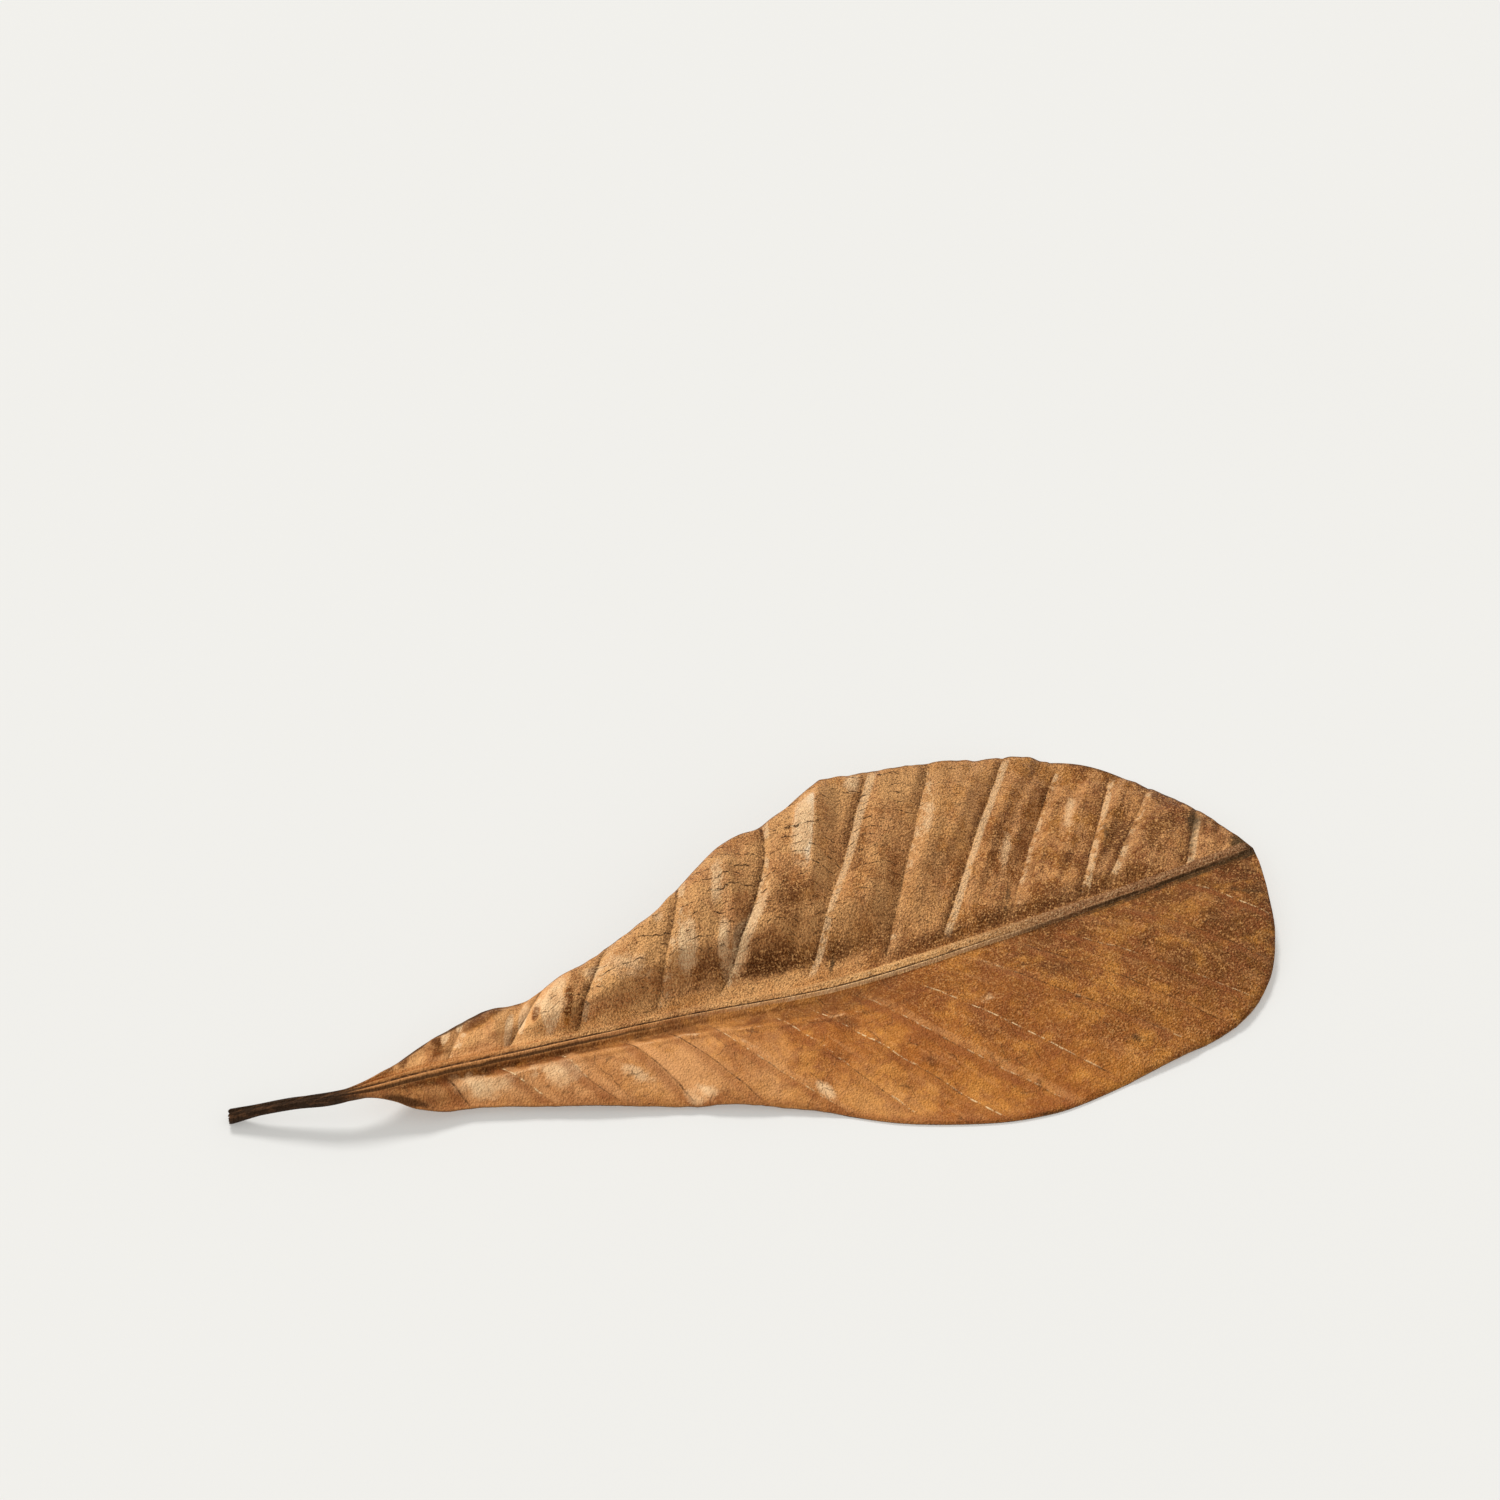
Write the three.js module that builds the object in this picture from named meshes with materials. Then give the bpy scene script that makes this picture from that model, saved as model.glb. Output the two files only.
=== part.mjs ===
// One dried magnolia leaf, lying face up as it fell: a leathery blade, widest towards its blunt tip, that
// narrows to a channelled midrib, and the midrib's own stalk. One half lies low with its edge on the surface.
// The other half is curled up, with deep waves between its side veins. It all grew as one piece.
//
// Millimetres, +Z up. The stalk points to -X and the tip to +X. The origin is under the middle of the leaf,
// on the surface that it lies on.

import * as THREE from "three";

// The blade and the stalk.
const BLADE_THICKNESS = 0.8;
const STALK_LENGTH = 20.5;
const STALK_RADIUS = { cut: 1.3, waist: 1.0, blade: 1.15 };
const STALK_CHANNEL = 0.3; // depth of the groove along the top of the stalk
const STALK_MERGE = { from: -4, to: 7 }; // where along the blade's first millimetres the stalk turns into it

// The midrib's top line, from the cut end of the stalk to the tip: along, across and up.
const MIDRIB_LINE = [
  [-20.3, 4.8, 2.5], [-10, 1.8, 4.8], [0, -0.9, 6.2], [15, -1.1, 6], [30, -1.6, 5.3], [60, -2.4, 3.7],
  [90, -4.5, 2.6], [120, -3.3, 2.6], [150, -1.7, 3.2], [173.6, 0.2, 4],
];
const MIDRIB_DEPTH = { base: 1.7, tip: 0.4 }; // how far it stands out below the blade
const MIDRIB_LIP = { place: 0.55, height: 0.4 }; // the raised lips on each side of its groove
const MIDRIB_WIDENS = { by: 0.55, narrowsFrom: 0.7 }; // shares of the blade's length

// The underside of each half's edge, from the stalk to the tip: along, across and up.
const RAISED_EDGE = [
  [0, 0.3, 5.4], [6.5, 1.5, 5.3], [13, 4.3, 5.2], [19.5, 6.6, 5.5], [27, 8.5, 6], [34, 8.8, 5.1], [38.5, 9.9, 6],
  [51, 13.1, 8.6], [60, 15.8, 10.4], [69, 20.9, 12], [79.5, 27.4, 12.7], [87.5, 29.2, 12.2], [101, 35.7, 12.2],
  [109, 36.8, 10.6], [122, 37.2, 8.4], [134, 37.4, 5.3], [143.5, 37.3, 2.3], [151, 35.3, -0.8],
  [157, 31.1, -0.8], [163, 23.3, 0.8], [168.5, 13.3, 2.2], [172, 4.5, 3.2], [173.4, 0.6, 3.3],
];
const LOW_EDGE = [
  [0, -1.8, 5.4], [3.5, -3, 5.2], [7, -4.3, 4.3], [10.5, -6.3, 2.9], [15, -7.6, 2], [22, -8.8, 1.6],
  [41, -15.2, 1.6], [56, -20.4, 1], [64, -23.2, 1.5], [77, -28.9, 0.8], [89.5, -35.9, -0.3], [103, -40.8, -1.4],
  [112.5, -42.6, -1.4], [121, -42.5, -0.3], [137, -39.8, 0.6], [153.5, -36, 1], [163, -28.9, 1.8],
  [168.4, -20, 2.5], [171.2, -11.5, 3], [172.9, -4.5, 3.2], [173.4, -0.4, 3.3],
];

// Side veins: the row, as a share of the blade's length, on which each leaves the midrib, the row on which it
// meets the edge, and how many rows further on it is halfway.
const RAISED_VEINS = [
  [0.106, 0.113, 0], [0.169, 0.18, 0], [0.241, 0.235, 0], [0.325, 0.3, 0.006], [0.388, 0.38, 0.02],
  [0.484, 0.482, 0.004], [0.573, 0.538, 0], [0.636, 0.62, 0], [0.716, 0.697, -0.004], [0.797, 0.777, 0],
  [0.824, 0.843, 0], [0.922, 0.922, 0],
];
const LOW_VEINS = [
  [0.1, 0.1, 0], [0.153, 0.162, 0], [0.215, 0.21, -0.004], [0.281, 0.258, 0], [0.325, 0.302, 0],
  [0.368, 0.358, -0.012], [0.434, 0.41, -0.004], [0.47, 0.462, 0], [0.526, 0.516, -0.008], [0.578, 0.564, -0.002],
  [0.652, 0.65, -0.002], [0.705, 0.704, 0], [0.746, 0.76, 0], [0.826, 0.834, 0], [0.904, 0.908, 0],
];
const VEIN_SWEEP = { reach: 0.11, skew: 1.2 }; // how far the rows lean towards the tip, and where most

// Folds between the veins of the raised half, by shares of the blade's length: it climbs from the valley to the
// crest and falls to the end. From and to are shares of the width, and slant is how far it leans from the
// midrib to the edge.
const RAISED_FOLDS = [
  { valley: 0.082, crest: 0.094, end: 0.106, height: 0.7, from: 0.25, to: 0.86, slant: -0.02 },
  { valley: 0.136, crest: 0.15, end: 0.168, height: 0.6, from: 0.3, to: 0.86, slant: -0.02 },
  { valley: 0.205, crest: 0.22, end: 0.236, height: 0.7, from: 0.2, to: 0.86, slant: -0.03 },
  { valley: 0.28, crest: 0.294, end: 0.31, height: 0.5, from: 0.3, to: 0.86, slant: -0.04 },
  { valley: 0.36, crest: 0.379, end: 0.394, height: 1, from: 0.2, to: 0.72, slant: -0.06 },
  { valley: 0.436, crest: 0.46, end: 0.48, height: 1.7, from: 0.3, to: 0.86, slant: -0.045 },
  { valley: 0.512, crest: 0.526, end: 0.55, height: 0.7, from: 0.15, to: 0.6, slant: -0.03 },
  { valley: 0.59, crest: 0.602, end: 0.624, height: 0.6, from: 0.5, to: 0.86, slant: -0.02 },
  { valley: 0.672, crest: 0.684, end: 0.7, height: 0.5, from: 0.3, to: 0.8, slant: -0.02 },
  { valley: 0.742, crest: 0.758, end: 0.782, height: 0.8, from: 0.15, to: 0.86, slant: -0.02 },
  { valley: 0.87, crest: 0.888, end: 0.915, height: 0.4, from: 0.1, to: 0.86, slant: 0 },
];
const FOLD_FADES = 0.12; // over what share of the width a fold begins and ends

// The two halves. Lip is the width of the midrib on that side, rise says between which shares of the width the
// blade climbs steeply and which share of the height that is, and swell is how high it swells between two
// veins, highest at the share crest of the way to the next vein.
const RAISED_HALF = {
  side: 1, edge: RAISED_EDGE, veins: RAISED_VEINS, folds: RAISED_FOLDS, lip: { base: 1.1, middle: 2.2, tip: 1.2 },
  rise: { from: 0.1, to: 0.3, steep: 0.5 }, crown: 1, swell: 1.5, crest: 0.3,
};
const LOW_HALF = {
  side: -1, edge: LOW_EDGE, veins: LOW_VEINS, folds: [], lip: { base: 1.1, middle: 0.8, tip: 0.6 },
  rise: { from: 0, to: 1, steep: 1 }, crown: 1.6, swell: 0.4, crest: 0.5,
};
const SWELL_ROUNDING = 5; // how sharply the two slopes of a swell meet: higher is sharper
const SWELL_AT_EDGE = 0.2; // what is left of a swell at the edge itself

// How finely the skin is divided.
const STALK_ROWS = 6;
const BLADE_ROWS = 90;
const LAST_ROW = 0.985; // the tip itself is one point beyond the last row
const MIDRIB_COLUMNS = [0, 0.55, 1];
const BLADE_COLUMNS = 8;

const LEAF_COLOUR = 0xa5692f;

const smooth = (low, high, value) => THREE.MathUtils.smoothstep(value, low, high);
const mix = THREE.MathUtils.lerp;
const limit = THREE.MathUtils.clamp;

// A smooth curve through points, measured along its own length.
function curveThrough(points) {
  const curve = new THREE.CatmullRomCurve3(points.map((p) => new THREE.Vector3(...p)), false, "catmullrom", 0.5);
  curve.arcLengthDivisions = 600;
  return curve;
}

const midrib = curveThrough(MIDRIB_LINE);
const stalkShare = STALK_LENGTH / midrib.getLength();
for (const half of [RAISED_HALF, LOW_HALF]) half.curve = curveThrough(half.edge);

// A point of the midrib's top line and the level direction across it, at a share of the blade's length.
// The share is negative along the stalk.
function midribAt(share) {
  const along = limit(mix(stalkShare, 1, share), 0, 1);
  const point = midrib.getPointAt(along);
  const tangent = midrib.getTangentAt(along);
  return { point, across: new THREE.Vector3(-tangent.y, tangent.x, 0).normalize() };
}

// Half the midrib's width on one side, at a share of the blade's length.
function lipWidth(half, share) {
  const widened = mix(half.lip.base, half.lip.middle, smooth(0, MIDRIB_WIDENS.by, share));
  return mix(widened, half.lip.tip, smooth(MIDRIB_WIDENS.narrowsFrom, 1, share));
}

// Where a point lies among the veins: a whole number on each vein, and even steps between two of them.
function veinPlace(half, share, out) {
  const veins = half.veins.map(([root, edge, bow]) => mix(root, edge, out) + bow * Math.sin(Math.PI * out));
  const stops = [0, ...veins, 1];
  const steps = veins.map((vein, i) => limit((share - stops[i]) / (vein - stops[i]), 0, 1));
  return steps.reduce((sum, step) => sum + step, limit((share - veins.at(-1)) / (1 - veins.at(-1)), 0, 1));
}

// How far the blade swells between two veins: nothing on a vein, one at the crest. It is the lower of two
// straight slopes, rounded where they meet.
function swellBetweenVeins(half, share, out) {
  const phase = veinPlace(half, share, out) % 1;
  if (phase === 0) return 0;
  const climb = phase / half.crest;
  const fall = (1 - phase) / (1 - half.crest);
  return (climb ** -SWELL_ROUNDING + fall ** -SWELL_ROUNDING) ** (-1 / SWELL_ROUNDING);
}

// The height of a fold: the lower of a slope up from its valley and a slope down to its end.
function foldHeight(fold, share, out) {
  const place = share - fold.slant * (out - 0.5);
  const up = (place - fold.valley) / (fold.crest - fold.valley);
  const down = (fold.end - place) / (fold.end - fold.crest);
  const inside = smooth(fold.from, fold.from + FOLD_FADES, out) * (1 - smooth(fold.to, fold.to + FOLD_FADES, out));
  return fold.height * limit(Math.min(up, down), 0, 1) * inside;
}

// The underside of one half of the blade: share is where the row leaves the midrib, and out runs from 0 at
// the midrib's flank to 1 at the edge. Rows lean towards the tip as the side veins do.
function undersideOf(half, share, out) {
  const lean = VEIN_SWEEP.reach * Math.sin(Math.PI * share ** VEIN_SWEEP.skew) ** 2;
  const edge = half.curve.getPointAt(Math.min(1, share + lean));
  const { point, across } = midribAt(share);
  const root = point.addScaledVector(across, half.side * lipWidth(half, share));
  root.z -= BLADE_THICKNESS;
  const width = Math.hypot(edge.x - root.x, edge.y - root.y);
  const room = smooth(4, 30, width);
  const spread = smooth(0, 0.45, out) * mix(1, SWELL_AT_EDGE, smooth(0.7, 1, out));
  const place = new THREE.Vector3().lerpVectors(root, edge, out);
  const { from, to, steep } = half.rise;
  const climbed = mix(smooth(from, 1, out), smooth(from, to, out), steep);
  place.z = mix(root.z, edge.z, climbed) + half.crown * room * Math.sin(Math.PI * out);
  place.z += half.swell * mix(0.4, 1, room) * swellBetweenVeins(half, share, out) * spread;
  for (const fold of half.folds) place.z += foldHeight(fold, share, out);
  return place;
}

// Half of one row across the leaf, from the middle of the midrib to one edge: pairs of top and bottom points.
function bladeRow(half, share) {
  const inBlade = Math.max(share, 0);
  const { point, across } = midribAt(share);
  const depth = mix(MIDRIB_DEPTH.base, MIDRIB_DEPTH.tip, inBlade);
  const row = MIDRIB_COLUMNS.map((place) => {
    const lip = place < MIDRIB_LIP.place ? place / MIDRIB_LIP.place : (1 - place) / (1 - MIDRIB_LIP.place);
    const top = point.clone().addScaledVector(across, half.side * lipWidth(half, inBlade) * place);
    const bottom = top.clone();
    top.z += MIDRIB_LIP.height * lip;
    bottom.z -= BLADE_THICKNESS + depth * Math.sqrt(1 - place * place);
    return { top, bottom };
  });
  for (let column = 1; column <= BLADE_COLUMNS; column += 1) {
    const bottom = undersideOf(half, inBlade, column / BLADE_COLUMNS);
    row.push({ top: bottom.clone().setZ(Math.max(bottom.z, 0) + BLADE_THICKNESS), bottom });
  }
  return row;
}

// The same columns wrapped round the stalk, a rounded rod with a shallow channel along its top.
function stalkRow(half, share) {
  const { point, across } = midribAt(share);
  const fromCut = (share / stalkShare) * (1 - stalkShare) + 1; // 0 at the cut end, 1 where the blade starts
  const radius = mix(mix(STALK_RADIUS.cut, STALK_RADIUS.waist, smooth(0, 0.3, fromCut)), STALK_RADIUS.blade,
    smooth(0.5, 1, fromCut));
  const centre = point.setZ(point.z - radius);
  const columns = MIDRIB_COLUMNS.length + BLADE_COLUMNS - 1;
  return Array.from({ length: columns + 1 }, (_, column) => {
    const turn = THREE.MathUtils.degToRad(mix(0, 82, column / columns));
    const place = centre.clone().addScaledVector(across, half.side * radius * Math.sin(turn));
    const channel = STALK_CHANNEL * (1 - smooth(0, 0.45, Math.sin(turn)));
    return {
      top: place.clone().setZ(centre.z + radius * Math.cos(turn) - channel),
      bottom: place.clone().setZ(centre.z - radius * Math.cos(turn)),
    };
  });
}

// One whole row from the raised edge to the low edge. Nothing reaches below the surface that the leaf lies on.
function leafRow(share) {
  const alongBlade = share * (midrib.getLength() - STALK_LENGTH);
  const merge = smooth(STALK_MERGE.from, STALK_MERGE.to, alongBlade);
  const stalkEnd = Math.min(share, 0);
  const beyondStalk = midribAt(share).point.sub(midribAt(stalkEnd).point);
  const halves = [RAISED_HALF, LOW_HALF].map((half) => {
    const stalk = stalkRow(half, stalkEnd);
    return bladeRow(half, share).map((pair, column) => {
      const top = stalk[column].top.add(beyondStalk).lerp(pair.top, merge);
      const bottom = stalk[column].bottom.add(beyondStalk).lerp(pair.bottom, merge);
      bottom.z = Math.max(bottom.z, 0);
      return { top, bottom };
    });
  });
  return [...halves[0].reverse(), ...halves[1].slice(1)];
}

// Closes a skin over the rows: top and bottom split alike, a strip along each edge, and a point at each end.
function skinOver(rows, start, end) {
  const columns = rows[0].length;
  const positions = [];
  const faces = [];
  for (const row of rows) {
    for (const { top } of row) positions.push(...top.toArray());
    for (const { bottom } of row) positions.push(...bottom.toArray());
  }
  positions.push(...start.toArray(), ...end.toArray());
  const startPoint = rows.length * columns * 2;
  const endPoint = startPoint + 1;
  const top = (row, column) => row * columns * 2 + column;
  const bottom = (row, column) => top(row, column) + columns;
  const quad = (a, b, c, d) => faces.push(a, b, c, a, c, d);
  for (let row = 0; row < rows.length - 1; row += 1) {
    for (let column = 0; column < columns - 1; column += 1) {
      const next = column + 1;
      quad(top(row, column), top(row, next), top(row + 1, next), top(row + 1, column));
      faces.push(bottom(row, column), bottom(row + 1, next), bottom(row, next));
      faces.push(bottom(row, column), bottom(row + 1, column), bottom(row + 1, next));
    }
    const last = columns - 1;
    quad(top(row, 0), top(row + 1, 0), bottom(row + 1, 0), bottom(row, 0));
    quad(bottom(row, last), bottom(row + 1, last), top(row + 1, last), top(row, last));
  }
  const ring = (row) => [
    ...Array.from({ length: columns }, (_, column) => top(row, column)),
    ...Array.from({ length: columns }, (_, column) => bottom(row, columns - 1 - column)),
  ];
  const fan = (points, centre, outward) => points.forEach((point, i) => {
    const next = points[(i + 1) % points.length];
    faces.push(...(outward ? [point, next, centre] : [next, point, centre]));
  });
  fan(ring(0), startPoint, false);
  fan(ring(rows.length - 1), endPoint, true);
  const geometry = new THREE.BufferGeometry();
  geometry.setAttribute("position", new THREE.Float32BufferAttribute(positions, 3));
  geometry.setIndex(faces);
  geometry.computeVertexNormals();
  return geometry;
}

function buildLeaf() {
  const stalkStart = -stalkShare / (1 - stalkShare);
  const shares = [
    ...Array.from({ length: STALK_ROWS }, (_, row) => mix(stalkStart, 0, row / STALK_ROWS)),
    ...Array.from({ length: BLADE_ROWS + 1 }, (_, row) => (LAST_ROW * row) / BLADE_ROWS),
  ];
  const cutFace = midribAt(stalkStart).point.setZ(MIDRIB_LINE[0][2] - STALK_RADIUS.cut);
  const tip = new THREE.Vector3(...MIDRIB_LINE.at(-1)).setZ(MIDRIB_LINE.at(-1)[2] - BLADE_THICKNESS / 2);
  const geometry = skinOver(shares.map(leafRow), cutFace, tip);
  geometry.computeBoundingBox();
  const middle = geometry.boundingBox.getCenter(new THREE.Vector3());
  geometry.translate(-middle.x, -middle.y, 0);
  return geometry;
}

const leaf = new THREE.Mesh(
  buildLeaf(),
  new THREE.MeshStandardMaterial({ color: LEAF_COLOUR, roughness: 0.55, metalness: 0 }),
);
leaf.name = "leaf";

const part = new THREE.Group();
part.add(leaf);

export default part;
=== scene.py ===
"""A dried magnolia leaf lying face up: a leathery blade with one half curled up in waves, its midrib and its stalk.

The leaf is one closed surface, worked out on a grid whose rows follow the side veins and whose columns run from
one edge, over the midrib, to the other edge. Lengths are in millimetres until the mesh is written, in metres.
"""

import logging
import math
from collections.abc import Sequence
from dataclasses import dataclass, field
from enum import Enum

import bpy
import numpy as np
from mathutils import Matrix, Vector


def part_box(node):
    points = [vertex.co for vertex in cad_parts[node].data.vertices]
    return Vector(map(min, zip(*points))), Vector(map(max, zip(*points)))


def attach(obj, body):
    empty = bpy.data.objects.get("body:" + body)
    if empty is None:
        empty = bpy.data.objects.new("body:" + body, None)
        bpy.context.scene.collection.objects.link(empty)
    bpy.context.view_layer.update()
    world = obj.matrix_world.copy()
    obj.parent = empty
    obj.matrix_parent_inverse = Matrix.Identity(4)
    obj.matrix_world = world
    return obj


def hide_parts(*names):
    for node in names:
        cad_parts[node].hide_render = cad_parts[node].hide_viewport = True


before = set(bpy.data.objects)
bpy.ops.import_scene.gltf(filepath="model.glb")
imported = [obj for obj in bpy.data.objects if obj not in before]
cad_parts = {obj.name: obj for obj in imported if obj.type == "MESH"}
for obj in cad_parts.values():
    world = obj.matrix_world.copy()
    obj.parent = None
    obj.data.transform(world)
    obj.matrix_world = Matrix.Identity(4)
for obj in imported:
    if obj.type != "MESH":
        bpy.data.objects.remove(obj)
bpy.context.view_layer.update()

MM = 0.001
NOISE_TABLE = (97, 89)
# lumps to the metre, detail, roughness and warp of each noise on the skin
SKIN_NOISES = {
    "blotch": (62, 5, 0.6, 0.4), "patch": (150, 4, 0.6, 0.3), "mottle": (420, 4, 0.65), "fleck": (950, 3, 0.6),
    "grain": (2600, 2, 0.65),
}
Triple = tuple[float, float, float]
Colour = tuple[float, float, float, float]
log = logging.getLogger("dried leaf")


def smooth(low: float, high: float, value: np.ndarray) -> np.ndarray:
    """A step from 0 at low to 1 at high: 3 t squared minus 2 t cubed, with t the share of the way."""
    t = np.clip((value - low) / (high - low), 0.0, 1.0)
    return t * t * (3.0 - 2.0 * t)


def mix(start: np.ndarray, end: np.ndarray, share: np.ndarray) -> np.ndarray:
    """The value that lies at a share of the way from start to end."""
    return start + (end - start) * share


def bump(distance: np.ndarray, width: float) -> np.ndarray:
    """A bell that is 1 where distance is 0: e to the power of minus (distance over width) squared."""
    return np.exp(-((distance / width) ** 2))


def window(rise: tuple, fall: tuple, value: np.ndarray) -> np.ndarray:
    """A smooth step up over the first pair of values, and down again over the second."""
    return smooth(*rise, value) * (1.0 - smooth(*fall, value))


@dataclass(frozen=True)
class Lattice:
    """A smooth noise between -1 and 1: the size of its cells along each of two coordinates, and its seed."""

    cell: tuple[float, float]
    seed: int

    def at(self, places: np.ndarray, other: int = 0) -> np.ndarray:
        """The noise at points: random values at the corners of a grid of cells, blended by smooth steps.

        Args:
            places: Points, with two coordinates in the last axis.
            other: Added to the seed, for another noise of the same size.

        Returns:
            One number for each point.
        """
        scaled = places / np.array(self.cell)
        corner = np.floor(scaled).astype(np.int64)
        inside = scaled - corner
        inside = inside * inside * (3.0 - 2.0 * inside)
        table = np.random.default_rng(self.seed + other).uniform(-1.0, 1.0, NOISE_TABLE)

        def value(dx: int, dy: int) -> np.ndarray:
            """The random value at one corner of each point's cell."""
            return table[(corner[..., 0] + dx) % NOISE_TABLE[0], (corner[..., 1] + dy) % NOISE_TABLE[1]]

        near = mix(value(0, 0), value(1, 0), inside[..., 0])
        far = mix(value(0, 1), value(1, 1), inside[..., 0])
        return mix(near, far, inside[..., 1])


@dataclass(frozen=True)
class Curve:
    """A smooth curve through a few points, read at shares of its own length.

    Between two points it is a cubic whose slope at each point is half the step between that point's neighbours.
    """

    points: np.ndarray
    samples: int = 600

    def at_step(self, step: np.ndarray) -> np.ndarray:
        """The places at steps, which run evenly from point to point and from 0 to 1 over the whole curve.

        Args:
            step: The steps, of any shape.

        Returns:
            The places, with the coordinates in a last axis.
        """
        count = len(self.points)
        padded = np.vstack([2 * self.points[0] - self.points[1], self.points, 2 * self.points[-1] - self.points[-2]])
        place = np.clip(step, 0.0, 1.0) * (count - 1)
        index = np.minimum(place.astype(np.int64), count - 2)
        t = (place - index)[..., None]
        before, start, end, after = (padded[index + offset] for offset in range(4))
        leave = 0.5 * (end - before)
        arrive = 0.5 * (after - start)
        square = 3 * (end - start) - 2 * leave - arrive
        cube = 2 * (start - end) + leave + arrive
        return start + t * (leave + t * (square + t * cube))

    def lengths(self) -> np.ndarray:
        """The length from the start to each of the evenly stepped samples."""
        places = self.at_step(np.linspace(0.0, 1.0, self.samples + 1))
        return np.concatenate([[0.0], np.cumsum(np.linalg.norm(np.diff(places, axis=0), axis=1))])

    def length(self) -> float:
        """The whole curve's length."""
        return float(self.lengths()[-1])

    def at(self, share: np.ndarray) -> np.ndarray:
        """The places at shares of the curve's length.

        Args:
            share: Numbers from 0 to 1, of any shape.

        Returns:
            The places, with the coordinates in a last axis.
        """
        lengths = self.lengths()
        step = np.interp(np.asarray(share) * lengths[-1], lengths, np.linspace(0.0, 1.0, self.samples + 1))
        return self.at_step(step)

    def across(self, share: np.ndarray) -> np.ndarray:
        """The level direction at right angles to the curve, to its left.

        Args:
            share: Shares of the curve's length, of any shape.

        Returns:
            Directions of length 1, with the coordinates in a last axis.
        """
        reach = 1e-3
        step = self.at(np.clip(share + reach, 0, 1)) - self.at(np.clip(share - reach, 0, 1))
        sideways = np.stack([-step[..., 1], step[..., 0], np.zeros_like(step[..., 0])], axis=-1)
        return sideways / np.linalg.norm(sideways, axis=-1, keepdims=True)


class Side(Enum):
    """The two halves of the blade, by the sign of their side of the midrib."""

    RAISED = 1
    LOW = -1


@dataclass(frozen=True)
class Fold:
    """A crease between two side veins, by shares of the blade's length: it climbs from valley to crest, then ends."""

    valley: float
    crest: float
    end: float
    height: float
    out: tuple[float, float]
    slant: float

    def climb(self, share: np.ndarray, out: np.ndarray) -> tuple[np.ndarray, np.ndarray]:
        """How far each point has climbed on the fold, and how much it belongs to the climbing side.

        The height is the lower of a slope up from the valley and a slope down to the end, inside the fold's reach.
        The climbing side is narrow where the fold begins and widens on the way out.

        Args:
            share: Shares of the blade's length.
            out: Shares of the way from midrib to edge.

        Returns:
            The share of the fold's height, and a weight that is 1 on the climbing side.
        """
        place = share - self.slant * (out - 0.5)
        up = (place - self.valley) / (self.crest - self.valley)
        down = (self.end - place) / (self.end - self.crest)
        start, end = self.out
        inside = window((start, start + 0.12), (end, end + 0.12), out)
        narrow = 0.7 * (1 - smooth(start + 0.1, start + 0.5, out))
        facet = smooth(-0.15, 0.35, up - narrow) * (1 - smooth(0.75, 1.15, up))
        return np.clip(np.minimum(up, down), 0.0, 1.0) * inside, facet * inside


@dataclass(frozen=True)
class Stain:
    """A mark on the blade: a soft oval, by its place, size and turn, in millimetres and degrees, and its strength."""

    x: float
    y: float
    length: float
    width: float
    turn: float
    strength: float

    def at(self, places: np.ndarray) -> np.ndarray:
        """How strongly it shows at each place: a bell of the distance, measured in the oval's own size.

        Args:
            places: Points, with x and y first in the last axis.

        Returns:
            Numbers from 0 to the strength.
        """
        turn = math.radians(self.turn)
        dx, dy = places[..., 0] - self.x, places[..., 1] - self.y
        along = (dx * math.cos(turn) + dy * math.sin(turn)) / self.length
        across = (dy * math.cos(turn) - dx * math.sin(turn)) / self.width
        return self.strength * np.exp(-(along**2 + across**2))


def stains_at(*rows: tuple[float, ...]) -> tuple[Stain, ...]:
    """Marks from rows of numbers, which are in the order of a mark's fields."""
    return tuple(Stain(*row) for row in rows)


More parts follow.
